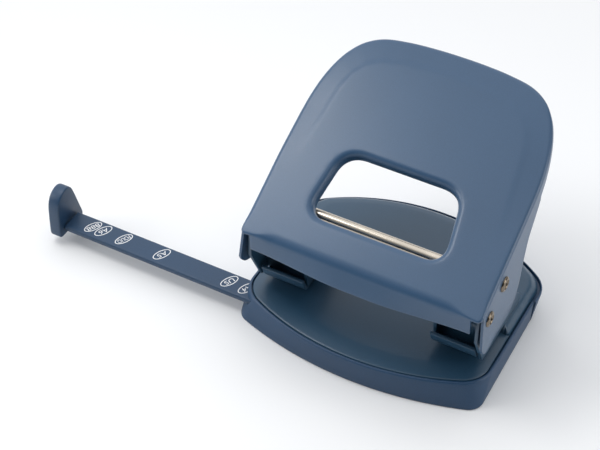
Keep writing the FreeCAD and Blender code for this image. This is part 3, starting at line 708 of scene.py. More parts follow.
def sheet_strip(name, line, thickness, x0, x1, bend=1.2):
    """Strip of sheet along a (y, z) line with rounded folds, between two X planes."""
    rounded_line = [Vector(line[0])]
    for a, b, c in zip(line, line[1:], line[2:]):
        a, b, c = Vector(a), Vector(b), Vector(c)
        rounded_line += arc(b + (a - b).normalized() * bend, b, b + (c - b).normalized() * bend, 6)
    rounded_line.append(Vector(line[-1]))
    ends = [rounded_line[0]] + rounded_line + [rounded_line[-1]]
    left, right = [], []
    for i, p in enumerate(rounded_line):
        along = (ends[i + 2] - ends[i]).normalized()
        across = Vector((-along.y, along.x)) * thickness / 2
        left.append(tuple(p + across))
        right.append(tuple(p - across))
    return prism(name, left + right[::-1], lambda a, b, d: (x0 + d, a, b), x1 - x0)


def bent_corners(outline, radius, steps=5):
    """The outline with its corners rounded."""
    result = []
    for a, b, c in zip(outline[-1:] + outline[:-1], outline, outline[1:] + outline[:1]):
        a, b, c = Vector(a), Vector(b), Vector(c)
        reach = min(radius, (a - b).length * 0.45, (c - b).length * 0.45)
        before, after = b + (a - b).normalized() * reach, b + (c - b).normalized() * reach
        result += [tuple(p) for p in arc(before, b, after, steps)]
    return result


EAR_RADIUS, FRONT_Y, WALL_TOP_Z = 4.7, -31.5, 36.0
LIP_REACH, LIP_RISE, LIP_SIDE_GAP = 2.9, 7.4, 1.2
GUIDE_LOW_Z, WEB_Y, GUIDE_END_Y = 32.75, -27.2, -12.8
FOLD, OVERLAP = 1.6, 0.2
for side, name in ((-1, "left"), (1, "right")):
    low, high = box_mm(name + "_bracket")
    inner, outer = sorted((abs(low[0]), abs(high[0])))
    _, pin_y, pin_z = middle(*box_mm(name + "_fulcrum_pin"))
    base_z, rear_y = low[2], high[1]
    angles = [math.radians(a) for a in range(180, -1, -15)]
    lug = [(pin_y + EAR_RADIUS * math.cos(a), pin_z + EAR_RADIUS * math.sin(a)) for a in angles]
    ear_line = [(rear_y, base_z), (FRONT_Y - 0.5, base_z), (-41.0, 37.0)] + lug
    ear_line += [(-27.5, 45.1), (-15.0, 45.1), (-6.0, WALL_TOP_Z), (rear_y, base_z + 4)]
    wall_line = bent_corners([
        (rear_y, base_z), (FRONT_Y + 1.0, base_z), (-32.0, 30.0), (-30.0, WALL_TOP_Z), (-13.0, WALL_TOP_Z),
        (rear_y, base_z + 4)], 2.0)
    plates = []
    for line, x in ((ear_line, outer - SHEET), (wall_line, inner)):
        plate = prism("plate", line, lambda a, b, d, x=x: (side * (x + d), a, b), SHEET)
        plates.append(rounded(plate, 0.18, 2))
    floor_z = base_z + SHEET / 2
    lip = sheet_strip(
        "lip", [(rear_y, floor_z), (FRONT_Y - 0.2, floor_z), (FRONT_Y - LIP_REACH, base_z + LIP_RISE)], SHEET,
        side * inner, side * (outer - SHEET - LIP_SIDE_GAP), FOLD)
    carved(lip, [bore((side * DIE_X, DIE_Y, base_z - 2), 3.1, 0, 6)])
    plates.append(rounded(lip, 0.35, 3))
    guide = sheet_strip(
        "guide", [(GUIDE_END_Y, GUIDE_LOW_Z), (WEB_Y, GUIDE_LOW_Z), (WEB_Y, base_z + SHEET)], SHEET,
        side * (inner + SHEET - OVERLAP), side * (outer - SHEET + OVERLAP), FOLD)
    carved(guide, [bore((side * DIE_X, DIE_Y, base_z + 3), 2.95, 0, 30)])
    plates.append(rounded(guide, 0.2))
    bracket = joined(name + "_punch_bracket", plates)
    # The brackets take the deck's tint, which is darkened partly as painted shade under the handle
    coated(bracket, finish(
        name + " bracket paint", paint, DECK_TINT_AND_SHADE, DECK_EDGE, 8.0 + side, 0.40, bump=0.02, coat=0.15))
    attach(bracket, "base")
    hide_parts(name + "_bracket")

# Bracket rivets: four flat-headed steel rivets that clamp the two brackets to the deck's raised platform.
RIVET_CENTRES = [(36.0, 2.5), (44.0, -5.0)]
RIVET_PROFILE = [
    (-4.0, 0), (-4.0, 1.6), (0.0, 1.6), (0.0, 2.6), (0.15, 2.8), (0.45, 2.75), (0.7, 2.3), (0.82, 1.4),
    (0.85, 0)]
head_z = PLATFORM_TOP + SHEET
rivets = [
    turned("rivet", RIVET_PROFILE, (side * x, y, head_z), UP) for side in (-1, 1) for x, y in RIVET_CENTRES]
rivets = coated(joined("bracket_rivet_set", rivets), zinc)
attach(rivets, "base")
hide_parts("bracket_rivets")

# Punch pins: two ground tool-steel pins with a hollow-ground tip that cuts at two points first. Each slides
# in its bracket, and the push rod bears on its rounded head. An open ring in its groove carries the spring.
bright_steel = finish(
    "ground steel", metal, (0.46, 0.46, 0.47), (0.7, 0.7, 0.7), 9.0, 0.22, metallic=1.0, bump=0.006)
PUNCH_RADIUS, GROOVE_RADIUS, HOLLOW_RADIUS, HOLLOW_DEPTH = 2.75, 2.3, 4.4, 0.96
for side, name in ((-1, "left"), (1, "right")):
    low, high = box_mm(name + "_punch_pin")
    clip_low, clip_high = box_mm(name + "_pin_clip")
    top = high[2] - low[2]
    groove_low, groove_high = clip_low[2] - low[2], clip_high[2] - low[2]
    pin = turned(
        name + "_punch",
        [(0, 0), (0, PUNCH_RADIUS - 0.01), (3.0, PUNCH_RADIUS), (groove_low - 0.15, PUNCH_RADIUS),
         (groove_low - 0.02, 2.6), (groove_low, GROOVE_RADIUS), (groove_high, GROOVE_RADIUS),
         (groove_high + 0.02, 2.6), (groove_high + 0.15, PUNCH_RADIUS), (top - 0.6, PUNCH_RADIUS),
         (top - 0.3, 2.62), (top - 0.1, 2.3), (top, 1.7), (top, 0)],
        (side * DIE_X, DIE_Y, low[2]), UP, sharp=45)
    hollow = turned(
        "hollow", [(-6, 0), (-6, HOLLOW_RADIUS), (6, HOLLOW_RADIUS), (6, 0)],
        (side * DIE_X, DIE_Y, low[2] + HOLLOW_DEPTH - HOLLOW_RADIUS), (1, 0, 0), steps=96)
    carved(pin, [hollow], 45)
    coated(pin, bright_steel)
    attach(pin, name + "_punch")
    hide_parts(name + "_punch_pin")
    clip = eased_edges(coated(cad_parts[name + "_pin_clip"], spring_steel), 0.12)

# Return springs: compression springs of drawn wire with closed end turns, between guide plate and clip. They
# push the punches and the handle back up.


def coil(name, centre, low_z, high_z, radius, wire, turns, steps=40, sides=12):
    """Compression spring with a closed turn at each end."""
    total = turns * steps
    points, faces = [], []
    for i in range(total + 1):
        share = i / total
        eased = smooth(share, 0.0, 1.0) * 0.35 + share * 0.65
        angle = 2 * math.pi * turns * share
        z = low_z + wire + (high_z - low_z - 2 * wire) * eased
        across = Vector((math.cos(angle), math.sin(angle), 0))
        for k in range(sides):
            turn = 2 * math.pi * k / sides
            spot = Vector((*centre, z + wire * math.sin(turn)))
            points.append(spot + across * (radius + wire * math.cos(turn)))
    for i in range(total):
        for k in range(sides):
            m = (k + 1) % sides
            faces.append((i * sides + k, i * sides + m, (i + 1) * sides + m, (i + 1) * sides + k))
    faces += [tuple(range(sides)), tuple(range(total * sides, (total + 1) * sides))]
    return new_piece(name, points, faces)


COIL_RADIUS, WIRE_RADIUS, COIL_TURNS, PUNCH_TRAVEL = 3.6, 0.4, 6, 7.9
for side, name in ((-1, "left"), (1, "right")):
    low, high = box_mm(name + "_return_spring")
    spring = coil(
        name + "_spring", (side * DIE_X, DIE_Y), low[2], high[2], COIL_RADIUS, WIRE_RADIUS, COIL_TURNS)
    coated(spring, spring_steel)
    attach(spring, "base")
    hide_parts(name + "_return_spring")
    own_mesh(spring)

# Fulcrum pins: lower rivets with cupped, nickel-plated heads. Each holds the handle's flange to a bracket's
# ear, and the handle turns on the pair. A steel washer spaces each flange off its ear; its near-black colour
# is painted shade, for the shadow in the gap between flange and ear.
FLANGE_X = box_mm("handle_shell")[1][0] - 0.5
nickel = finish(
    "bright nickel", metal, (0.56, 0.50, 0.42), (0.75, 0.70, 0.62), 11.0, 0.15, metallic=1.0, bump=0.002)
burnished = finish(
    "burnished nickel", metal, (0.20, 0.165, 0.125), (0.52, 0.47, 0.40), 12.0, 0.24, metallic=1.0, bump=0.01)
# Washer metal: near black as painted shade, for the shadow in the gap between flange and ear
washer_shade_metal = finish(
    "washer steel darkened as shade", metal, (0.05, 0.052, 0.056), (0.10, 0.10, 0.11), 14.0, 0.5, metallic=0.6, bump=0.01)
HEAD_RADIUS, HEAD_CUP = 3.3, 1.9


def rivet_head(reach, thick):
    """Profile of a rolled-over tubular rivet head that starts at a reach along the axis."""
    radius, cup = HEAD_RADIUS, HEAD_CUP
    steps = [
        (0, radius), (0.15, radius + 0.12), (0.4, radius + 0.16), (thick * 0.62, radius),
        (thick * 0.87, radius - 0.45), (thick, radius - 1.0), (thick * 0.98, cup + 0.45),
        (thick * 0.82, cup + 0.1), (thick * 0.5, cup - 0.1), (-0.9, cup - 0.35), (-1.0, 0)]
    return [(reach + along, size) for along, size in steps]


for side, name in ((-1, "left"), (1, "right")):
    low, high = box_mm(name + "_fulcrum_pin")
    washer_low, washer_high = box_mm(name + "_spacer_washer")
    _, y, z = middle(low, high)
    inner_x = min(abs(low[0]), abs(high[0]))
    reach = FLANGE_X - inner_x
    pin = turned(
        name + "_fulcrum",
        [(0, 0), (0, 2.2), (0.3, 2.5), (0.9, 2.5), (0.9, 1.98), (reach, 1.98)] + rivet_head(reach, 1.25),
        (side * inner_x, y, z), (side, 0, 0), sharp=50)
    coated(pin, burnished)
    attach(pin, "base")
    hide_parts(name + "_fulcrum_pin")
    washer_x = min(abs(washer_low[0]), abs(washer_high[0]))
    thick = FLANGE_X - 1.15 - washer_x
    washer = turned(
        name + "_washer",
        [(0, 2.02), (0, 3.3), (0.1, 3.4), (thick - 0.1, 3.4), (thick, 3.3), (thick, 2.02), (0, 2.02)],
        (side * washer_x, y, z), (side, 0, 0), sharp=50)
    # The washer takes the near-black metal, which is painted shade
    coated(washer, washer_shade_metal)
    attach(washer, "base")
    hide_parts(name + "_spacer_washer")

# Handle: one sheet of 1.3 mm steel, deep drawn and powder coated. A sloping face with a slightly raised panel
# rolls over into two side flanges and a bowed front lip. Notches free the lip from the flanges, and the
# window's edge is turned in so that the user can see the paper's edge through it.
SLOPE = math.radians(29.0)
FACE_ORIGIN = (-19.3, 67.0)


def on_face(x, s, h):
    """Point from handle coordinates: x across, s up the slope, h out of the face."""
    return (
        x, FACE_ORIGIN[0] + s * math.cos(SLOPE) - h * math.sin(SLOPE),
        FACE_ORIGIN[1] + s * math.sin(SLOPE) + h * math.cos(SLOPE))


def to_face(x, y, z):
    """The same three coordinates of a point in the row frame."""
    dy, dz = y - FACE_ORIGIN[0], z - FACE_ORIGIN[1]
    up_slope = dy * math.cos(SLOPE) + dz * math.sin(SLOPE)
    return Vector((x, up_slope, dz * math.cos(SLOPE) - dy * math.sin(SLOPE)))


# Flange's lower edge: the (y, z) that each place up the slope, given first, is joined to
FLANGE_EDGE = np.array([
    (-28, -43.8, 39.5), (-26.6, -43.7, 36.6), (-25, -42.6, 33.8), (-23.3, -40.4, 31.6), (-21, -37.6, 30.1),
    (-17, -33.2, 29.5), (-3, -15.5, 29.5), (1, -12.0, 30.3), (6, -7.4, 34.0), (10, -5.0, 39.5),
    (16, -3.0, 51.0), (22, 0.0, 62.0), (26, 4.2, 67.6), (31, 10.6, 75.4), (43, 20.4, 84.1),
    (54, 30.0, 90.2), (60, 35.5, 93.5)])
LIP_END, LIP_EDGE_Z, CUT_PAST = 49.9, 43.7, 0.9
CORNER, SIDE_HALF = 2.2, FLANGE_X - 0.1


def flange_edge(s):
    """(y, z) of the flange's lower edge, softened at the table's joints by averaging three readings."""
    width = 0.02 * (FLANGE_EDGE[-1, 0] - FLANGE_EDGE[0, 0])
    return [
        float(np.interp([s - width, s, s, s + width], FLANGE_EDGE[:, 0], FLANGE_EDGE[:, k]).mean())
        for k in (1, 2)]


def lip_crease(x):
    """Place up the slope of the crease between the face and the front lip."""
    return -27.0 - 2.1 * (x / 55.0) ** 2


def flange_column(x, s, nx, ns, radius):
    """Roll from the face into a side flange or the top edge, and where the sheet ends under it."""
    slanted = to_face(x, *flange_edge(s))
    square_depth = -slanted.z if s < 31 else 3.7 + 3.1 * (1 - smooth(s, 26.0, 52.0))
    slanted.x += math.copysign(0.6 + 0.8 * (1 - smooth(s, -26.0, -9.0)), x)
    square = Vector((x + nx * 0.1, s + ns * 0.1, -square_depth))
    end = slanted.lerp(square, smooth(s, 22.0, 34.0))
    radius = min(radius, (square_depth - 0.6) * 0.8)
    return {
        "corner": Vector((x, s, 0)), "out": Vector((nx, ns, 0)), "radius": radius, "end": end, "deep": True}


def handle_columns():
    """Every section line round the handle, from the middle of the front lip anticlockwise to it again."""
    right = []
    for i in range(41):
        x = LIP_END * i / 40
        s = lip_crease(x)
        slope = lip_crease(x + 0.5) - lip_crease(x - 0.5)
        length = math.hypot(slope, 1.0)
        right.append({
            "corner": Vector((x, s, 0)), "out": Vector((slope / length, -1 / length, 0)),
            "radius": 7.0 - 1.0 * smooth(x, 6, 38) - 4.9 * smooth(x, 38, 49.5),
            "end": to_face(x, -46.8 + 3.1 * smooth(x, 6.0, 50.0), LIP_EDGE_Z), "deep": True})
    front_s = lip_crease(SIDE_HALF - CORNER)
    centre = Vector((SIDE_HALF - CORNER, front_s + CORNER, 0))
    for i in range(1, 9):
        angle = math.radians(-90 + 90 * i / 8)
        out = Vector((math.cos(angle), math.sin(angle), 0))
        corner = centre + out * CORNER
        fall = Vector((0, -0.55 * -out.y, -1)).normalized()
        right.append({
            "corner": corner, "out": out, "radius": 1.0, "end": corner + fall * CUT_PAST, "deep": i == 8})
    right[-1]["deep"] = False
    first_s = centre.y + 0.05
    straight = [first_s + (30.0 - first_s) * (i / 48) ** 1.5 for i in range(49)]
    for s in straight:
        x = SIDE_HALF - 0.5 * smooth(s, 5.0, 38.0)
        right.append(flange_column(x, s, 1.0, 0.0, 1.1 + 0.9 * smooth(s, first_s, first_s + 8.0)))
    # Rounded top: side, corner and crown as one smooth curve through fixed points
    crown = curved([
        (SIDE_HALF - 0.5, 25.0), (SIDE_HALF - 0.5, 31.0), (53.4, 38.0), (52.0, 46.7), (49.6, 54.9),
        (46.2, 61.9), (40.9, 68.1), (33.2, 72.2), (22.2, 74.1), (11.0, 74.9), (0.0, 75.1), (-11.0, 74.9)], 6)
    for k, p in enumerate(crown):
        before, after = crown[max(k - 1, 0)], crown[min(k + 1, len(crown) - 1)]
        along = (after - before).normalized()
        if k == len(crown) - 1:
            along = Vector((-1, 0))
        if k == 0:
            along = Vector((-0.1, 1)).normalized()
        right.append(flange_column(p.x, p.y, along.y, -along.x, 2.0))
    mirrored = []
    for column in right[-2:0:-1]:
        copy = dict(column)
        for key in ("corner", "out", "end"):
            copy[key] = Vector((-column[key].x, column[key].y, column[key].z))
        mirrored.append(copy)
    return right + mirrored


# Outline of the raised panel: its arched top, from the side to near the middle, and its sides
ARCH = [(43.5, 36.0), (42.5, 45.0), (40.0, 52.5), (36.0, 58.0), (30.0, 61.8), (20.0, 64.2)]
SIDE = [(45.5, 18.0), (47.5, 0.0), (47.5, -60.0)]
PANEL = [(-x, s) for x, s in ARCH] + [(0.0, 65.4)] + ARCH[::-1] + SIDE + [(-x, s) for x, s in SIDE[::-1]]
BORDER_FALL, PANEL_RISE = 0.085, 0.28


def face_heights(places):
    """Height of the face at plan places: a raised panel inside a border that falls away."""
    out_of = loop_distances(places, PANEL) * np.where(within(places, PANEL), -1, 1)
    heights = []
    for (x, s), reach in zip(places, out_of):
        fade = smooth(s, 2.0, 34.0)
        soft = math.log1p(math.exp(min(reach / 1.1, 30.0))) * 1.1
        heights.append(fade * (-BORDER_FALL * soft - PANEL_RISE * smooth(reach, -1.6, 1.6)))
    return heights


def rolled_column(column, steps, deep_steps, lift):
    """Points from the face's flat, round the bend and down to the sheet's end, and where the bend starts."""
    corner, out, radius, end = column["corner"], column["out"], column["radius"], column["end"]
    fall = (end - corner).normalized()
    bend = math.acos(max(-1.0, min(1.0, fall.dot(out))))
    # A flange's end may lie forward of its corner, so the bend is taken square to the edge
    square = (out * max(0.0, fall.dot(out)) + Vector((0, 0, fall.z))).normalized()
    if column["deep"]:
        bend = math.acos(max(-1.0, min(1.0, square.dot(out))))
    else:
        square = fall
    reach = min(radius * math.tan(bend / 2), radius)
    start = corner - out * reach
    centre = start - Vector((0, 0, radius))
    points = []
    for i in range(steps + 1):
        angle = bend * i / steps
        points.append(centre + (out * math.sin(angle) + Vector((0, 0, math.cos(angle)))) * radius)
    shallow = corner + square * max(CUT_PAST, reach + 0.2)
    points.append(shallow)
    tail = []
    if column["deep"]:
        tail = [shallow + (end - shallow) * (i / deep_steps) for i in range(1, deep_steps + 1)]
    return [p + Vector((0, 0, lift)) for p in points + tail], start


ROLL_STEPS, DEEP_STEPS = 8, 8
columns = handle_columns()
starts = []
for column in columns:
    _, start = rolled_column(column, ROLL_STEPS, DEEP_STEPS, 0.0)
    starts.append((start.x, start.y))
lifts = face_heights(starts)
grid_points, rows = [], []
for column, lift in zip(columns, lifts):
    line, _ = rolled_column(column, ROLL_STEPS, DEEP_STEPS, lift)
    rows.append(list(range(len(grid_points), len(grid_points) + len(line))))
    grid_points += [on_face(*p) for p in line]
grid_faces = []
for a, b in zip(rows, rows[1:] + rows[:1]):
    for i in range(min(len(a), len(b)) - 1):
        grid_faces.append((a[i], b[i], b[i + 1], a[i + 1]))

WINDOW = [(-31.8, -11.8), (30.0, -11.8), (25.4, 19.3), (-27.6, 19.3)]
window_line = bent_corners(WINDOW, 9.5, 12)
dense = []
for a, b in zip(window_line, window_line[1:] + window_line[:1]):
    parts = max(1, round((Vector(b) - Vector(a)).length / 1.6))
    dense += [tuple(Vector(a).lerp(Vector(b), i / parts)) for i in range(parts)]
window_line = dense
WINDOW_ROLL, WINDOW_DEPTH, WINDOW_BEND = 3.0, 5.6, math.radians(89)
window_rows, window_start = [], []
for k, (x, s) in enumerate(window_line):
    before, after = Vector(window_line[k - 1]), Vector(window_line[(k + 1) % len(window_line)])
    along = (after - before).normalized()
    inward = Vector((-along.y, along.x, 0))
    reach = WINDOW_ROLL * math.tan(WINDOW_BEND / 2)
    start = Vector((x, s, 0)) - inward * reach
    centre = start - Vector((0, 0, WINDOW_ROLL))
    line = []
    for i in range(9):
        angle = WINDOW_BEND * i / 8
        line.append(centre + (inward * math.sin(angle) + Vector((0, 0, math.cos(angle)))) * WINDOW_ROLL)
    fall = inward * math.cos(WINDOW_BEND) - Vector((0, 0, math.sin(WINDOW_BEND)))
    line.append(Vector((x, s, 0)) + fall * WINDOW_DEPTH)
    window_start.append((start.x, start.y))
    window_rows.append(list(range(len(grid_points), len(grid_points) + len(line))))
    grid_points += [on_face(*p) for p in line]
for a, b in zip(window_rows, window_rows[1:] + window_rows[:1]):
    for i in range(len(a) - 1):
        grid_faces.append((a[i], a[i + 1], b[i + 1], b[i]))

loose = [(x * 2.2 + (y % 2) * 1.1, y * 2.0) for x in range(-25, 26) for y in range(-14, 39)]
for reach in (-3.0, -2.0, -1.2, -0.4, 0.4, 1.2, 2.0, 3.0, 4.5):
    ring = bent_corners(PANEL, 4.0, 4)
    for a, b in zip(ring, ring[1:] + ring[:1]):
        a, b = Vector(a), Vector(b)
        if (b - a).length < 1e-6:
            continue
        out = Vector((-(b - a).y, (b - a).x)).normalized()
        parts = max(1, int((b - a).length / 1.8))
        loose += [tuple(a.lerp(b, i / parts) + out * reach) for i in range(parts)]
good = within(loose, starts) & (loop_distances(loose, starts) > 0.6)
good &= ~within(loose, window_start) & (loop_distances(loose, window_start) > 0.8)
loose = [p for p, ok in zip(loose, good) if ok]
places, faces = filled([starts], [window_start], loose)
heights = face_heights(places)
base = len(grid_points)
grid_points += [on_face(x, s, h) for (x, s), h in zip(places, heights)]
grid_faces += [tuple(base + i for i in face) for face in faces]
handle = new_piece("handle", grid_points, grid_faces, 55)
if sum(p.normal.z * p.area for p in handle.data.polygons) < 0:
    handle.data.flip_normals()
sheet = handle.modifiers.new("sheet", "SOLIDIFY")
sheet.thickness, sheet.offset, sheet.use_even_offset = 1.1 * MM, -1.0, False
finished(handle, 55)
rounded(handle, 0.3, 2, 60, 55)
HANDLE_TINT, HANDLE_EDGE = (0.033, 0.084, 0.165), (0.06, 0.115, 0.20)
coated(handle, finish("handle paint", paint, HANDLE_TINT, HANDLE_EDGE, 13.0, 0.35, bump=0.012, coat=0.2))
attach(handle, "handle")
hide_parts("handle_shell")

# Push rod: a polished, nickel-plated steel rod across the handle behind the fulcrum. It presses on both
# punches at once, and its ends are riveted over outside the flanges.
_, y, z = middle(*box_mm("push_rod"))
ROD_RADIUS, HEAD_START = 2.25, FLANGE_X - 0.2
rod = turned(
    "push_rod_bar", [(-FLANGE_X, 0), (-FLANGE_X, ROD_RADIUS), (FLANGE_X, ROD_RADIUS), (FLANGE_X, 0)],
    (0, y, z), (1, 0, 0), steps=64, sharp=50)
coated(rod, nickel)
head_profile = [(HEAD_START, ROD_RADIUS)] + rivet_head(HEAD_START, 1.35)
rod_heads = joined("push_rod_heads", [
    turned("head", head_profile, (0, y, z), (side, 0, 0), sharp=50) for side in (-1, 1)])
coated(rod_heads, burnished)
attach(rod_heads, "handle")
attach(rod, "handle")
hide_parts("push_rod")

# Paper rail: a flat moulded slide that runs out of the tray's left wall, with its long edges rounded. White
# printed ovals along its top give the paper sizes that its stop is set to.
_, rail_mid_y, rail_mid_z = middle(rail_low, rail_high)
rail_y, rail_half = rail_mid_y + 0.12, (rail_high[1] - rail_low[1]) / 2 + 0.13
RAIL_EDGE_RADIUS, RAIL_STEPS, TAPER, TAPER_LENGTH = 0.8, 24, 4.6, 6.0


def rail_section(half, thick, radius):
    """Rounded rectangle as (y, z) offsets."""
    outline = []
    for cy, cz, start in ((half, thick, 0), (-half, thick, 90), (-half, -thick, 180), (half, -thick, 270)):
        for i in range(6):
            angle = math.radians(start + 90 * i / 5)
            outline.append((
                math.copysign(abs(cy) - radius, cy) + radius * math.cos(angle),
                math.copysign(abs(cz) - radius, cz) + radius * math.sin(angle)))
    return outline


def lofted(name, rows, sharp):
    """Solid through rows of equally many points, closed at both ends."""
    count = len(rows[0])
    faces = []
    for row in range(len(rows) - 1):
        for i in range(count):
            j = (i + 1) % count
            faces.append((row * count + i, row * count + j, (row + 1) * count + j, (row + 1) * count + i))
    faces += [tuple(range(count)), tuple(range((len(rows) - 1) * count, len(rows) * count))]
    return new_piece(name, [p for row in rows for p in row], faces, sharp)


section = rail_section(rail_half, (rail_high[2] - rail_low[2]) / 2, RAIL_EDGE_RADIUS)
start_x, straight = rail_low[0] + 0.5, rail_high[0] - TAPER_LENGTH - rail_low[0]
rows = [
    [(start_x + straight * i / RAIL_STEPS, rail_y + a, rail_mid_z + b) for a, b in section]
    for i in range(RAIL_STEPS + 1)]
tapered = [(a + (0 if a > 0 else TAPER), b * 0.9) for a, b in section]
rows.append([(rail_high[0] - 0.3, rail_y + a * 0.96, rail_mid_z + b) for a, b in tapered])
rail = lofted("paper_size_rail", rows, 40)
RAIL_TINT, RAIL_EDGE = (0.014, 0.048, 0.105), (0.04, 0.09, 0.17)
rail_plastic = finish("rail plastic", plastic, RAIL_TINT, RAIL_EDGE, 15.0, 0.42, bump=0.015)
coated(rail, rail_plastic)
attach(rail, "rail")
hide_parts("paper_rail")


def printed_ink():
    """Pad-printed ink: slightly uneven cover over the plastic's grain."""
    tree, inputs, outputs = group("Printed ink", FINISH_IN, FINISH_OUT)
    where = place_for(tree, inputs)
    cover = noise(tree, where, 1500.0, 3.0)
    grain = noise(tree, where, 3000.0, 2.0)
    thin = sums(tree, [(spread(tree, cover, 0.60, 0.85), 0.35)])
    color = tinted(tree, inputs.outputs["Tint"], 1.0, inputs.outputs["Edge"], thin)
    rough = sums(tree, [(inputs.outputs["Roughness"], 1.0), (grain, 0.1)])
    return put_out(tree, outputs, color, rough, grain)


ink = finish("printed ink", printed_ink(), (0.80, 0.81, 0.82), (0.35, 0.40, 0.47), 17.0, 0.5, bump=0.01)
# Each mark's place is half its sheet's length
MARKS = [(68.5, "888"), (74.0, "A6"), (85.0, "FOLIO"), (105.0, "A5"), (139.7, "US"), (148.5, "A4")]
TRAY_WALL_X, LETTER_HEIGHT, SHORT_WORD, LONG_WORD = 56.5, 3.4, 4.6, 6.2
MARK_Y = rail_y + 0.3
PRINT_Z = rail_high[2] + 0.015
MARK_HALF_X, MARK_HALF_Y, MARK_SLANT = 2.3, 4.5, math.radians(27.0)


def slanted_mark(x, across, along):
    """Point of the mark centred at a place along the rail, turned to the marks' slant."""
    cos, sin = math.cos(MARK_SLANT), math.sin(MARK_SLANT)
    return (x + across * cos + along * sin, MARK_Y + along * cos - across * sin, PRINT_Z)


def oval(x):
    """Printed ring round the mark centred at a place along the rail."""
    points = []
    for inset in (0.0, 0.42):
        for i in range(48):
            angle = 2 * math.pi * i / 48
            across = (MARK_HALF_X - inset) * math.cos(angle)
            points.append(slanted_mark(x, across, (MARK_HALF_Y - inset) * math.sin(angle)))
    return new_piece("mark", points, [(i, (i + 1) % 48, 48 + (i + 1) % 48, 48 + i) for i in range(48)])


def letters(x, label):
    """Printed size name along the mark's longer axis."""
    text = bpy.data.curves.new("size", "FONT")
    text.body, text.size, text.align_x, text.align_y = label, 1.0, "CENTER", "CENTER"
    word = bpy.data.objects.new("size", text)
    bpy.context.scene.collection.objects.link(word)
    bpy.context.view_layer.update()
    wide = max(word.dimensions.x, 1e-6)
    flat = bpy.data.meshes.new_from_object(word.evaluated_get(bpy.context.evaluated_depsgraph_get()))
    bpy.data.objects.remove(word)
    stretch = (LONG_WORD if len(label) > 2 else SHORT_WORD) / wide
    for v in flat.vertices:
        v.co = Vector(slanted_mark(x, v.co.y * LETTER_HEIGHT, -v.co.x * stretch)) * MM
    piece = bpy.data.objects.new("size", flat)
    bpy.context.scene.collection.objects.link(piece)
    return piece


prints = []
inner_face = box_mm("paper_stop")[1][0]
for half_length, label in MARKS:
    x = inner_face - TRAY_WALL_X + half_length
    prints += [oval(x), letters(x, label)]
marks = coated(joined("paper_size_marks", prints), ink)
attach(marks, "rail")

# Paper stop: an upright tab moulded on the rail's outer end, broad at the foot and round at the head. The
# paper's edge rests against its flat inner face.
low, high = box_mm("paper_stop")
stop_y = middle(low, high)[1]
STOP_FOOT_REAR, STOP_FOOT_FRONT, STOP_CORNER, STOP_EDGE = 9.7, 8.5, 2.0, 1.3
# Side view from rear foot over the head to front foot, as distance behind the rail's middle and height
side_line = curved([
    (10.2, -2.0), (STOP_FOOT_REAR, 2.6), (8.2, 7.8), (6.7, 12.7), (5.2, 17.6), (3.7, 21.6), (1.9, 23.7),
    (-0.4, 24.4), (-2.8, 24.0), (-5.2, 22.5), (-7.0, 19.9), (-7.9, 16.4), (-8.2, 12.0), (-8.4, 7.0),
    (-STOP_FOOT_FRONT, 2.6), (-STOP_FOOT_FRONT, -2.0)], 4)
angles = [math.radians(a) for a in (0, 22, 45, 67)]
corner = [(STOP_CORNER * math.sin(a), STOP_CORNER * (1 - math.cos(a))) for a in angles]
outline = [(STOP_FOOT_REAR - STOP_CORNER + a, low[2] + b) for a, b in corner]
outline += [(p.x, low[2] + p.y) for p in side_line]
outline += [(STOP_CORNER - STOP_FOOT_FRONT - a, low[2] + b) for a, b in reversed(corner)]
# Through its thickness: a well-rounded outer edge and a tighter one on the paper's side
depth, edge = high[0] - low[0], STOP_EDGE
LAYERS = [
    (0.0, edge), (0.1, edge * 0.62), (0.38, edge * 0.29), (0.8, edge * 0.08), (edge, 0.0),
    (depth - edge * 0.6, 0.0), (depth - 0.35, 0.07), (depth - 0.12, 0.28), (depth, 0.7)]
ends = outline[-1:] + outline + outline[:1]
rows = []
for x, inset in LAYERS:
    rows.append([])
    for k, (a, b) in enumerate(outline):
        along = (Vector(ends[k + 2]) - Vector(ends[k])).normalized()
        rows[-1].append((low[0] + x, stop_y + a - along.y * inset, b + along.x * inset))
stop = lofted("rail_stop", rows, 40)
coated(stop, finish("stop plastic", plastic, RAIL_TINT, RAIL_EDGE, 19.0, 0.42, bump=0.015))
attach(stop, "rail")
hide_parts("paper_stop")

# Studio: a wide pale floor, a room that is bright behind and to the left, and four soft lights. The camera
# looks down on the punch from the right front.
bpy.context.scene.view_settings.view_transform = "Standard"
FLOOR_HALF, FLOOR_Z = 4000, -0.1
corners = ((-1, -1), (1, -1), (1, 1), (-1, 1))
floor = new_piece("floor", [(x * FLOOR_HALF, y * FLOOR_HALF, FLOOR_Z) for x, y in corners], [(0, 1, 2, 3)])
floor_paint = bpy.data.materials.new("floor")
floor_paint.use_nodes = True
floor_shader = floor_paint.node_tree.nodes["Principled BSDF"]
floor_shader.inputs["Base Color"].default_value = (0.90, 0.90, 0.90, 1)
floor_shader.inputs["Roughness"].default_value = 0.9
floor_shader.inputs["Specular IOR Level"].default_value = 0.1
coated(floor, floor_paint)

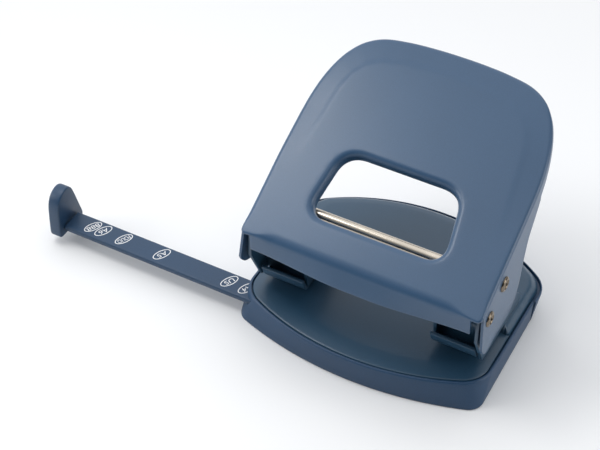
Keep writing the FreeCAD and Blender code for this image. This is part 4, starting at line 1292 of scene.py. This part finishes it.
WORLD_LOW, WORLD_HIGH, BRIGHT_SIDE = 0.08, 1.40, (-0.42, 0.38, 0.82)
world = bpy.data.worlds.new("studio")
world.use_nodes = True
sky = world.node_tree
direction = add(sky, "TexCoord").outputs["Generated"]
facing = add(sky, "VectorMath", {0: direction, 1: BRIGHT_SIDE}, operation="DOT_PRODUCT").outputs["Value"]
glow = spread(sky, facing, 0.05, 0.98, WORLD_LOW, WORLD_HIGH)
sky.links.new(glow, sky.nodes["Background"].inputs["Strength"])
sky.nodes["Background"].inputs["Color"].default_value = (0.95, 0.97, 1.0, 1)
bpy.context.scene.world = world


def soft_light(name, place, aim, size, power):
    """Square area light at a place, turned to a point, in millimetres and watts."""
    lamp = bpy.data.lights.new(name, "AREA")
    lamp.size, lamp.energy = size * MM, power
    light = bpy.data.objects.new(name, lamp)
    light.location = Vector(place) * MM
    light.rotation_euler = (Vector(aim) - Vector(place)).to_track_quat("-Z", "Y").to_euler()
    bpy.context.scene.collection.objects.link(light)


soft_light("left_overhead", (-190, -70, 340), (-30, 0, 60), 130, 0.30)
soft_light("right_overhead", (210, -130, 640), (20, 0, 60), 170, 0.04)
soft_light("left_fill", (-700, -420, 320), (0, 0, 40), 400, 1.8)
soft_light("right_fill", (800, 150, 300), (0, 0, 40), 500, 2.4)

CAMERA_PLACE, SENSOR_WIDTH, LENS = (198.07, -462.25, 521.42), 36.0, 98.2
azimuth, elevation, roll = math.radians(28.22), math.radians(43.65), math.radians(0.43)
level = math.cos(elevation)
backward = Vector((math.sin(azimuth) * level, -math.cos(azimuth) * level, math.sin(elevation)))
rightward = Vector((math.cos(azimuth), math.sin(azimuth), 0))
upward = backward.cross(rightward)
tilted = rightward * math.cos(roll) + upward * math.sin(roll)
raised = upward * math.cos(roll) - rightward * math.sin(roll)
lens = bpy.data.cameras.new("camera")
lens.sensor_width, lens.lens = SENSOR_WIDTH, LENS
camera = bpy.data.objects.new("camera", lens)
bpy.context.scene.collection.objects.link(camera)
turning = Matrix((tilted, raised, backward)).transposed().to_4x4()
camera.matrix_world = Matrix.Translation(Vector(CAMERA_PLACE) * MM) @ turning
bpy.context.scene.camera = camera
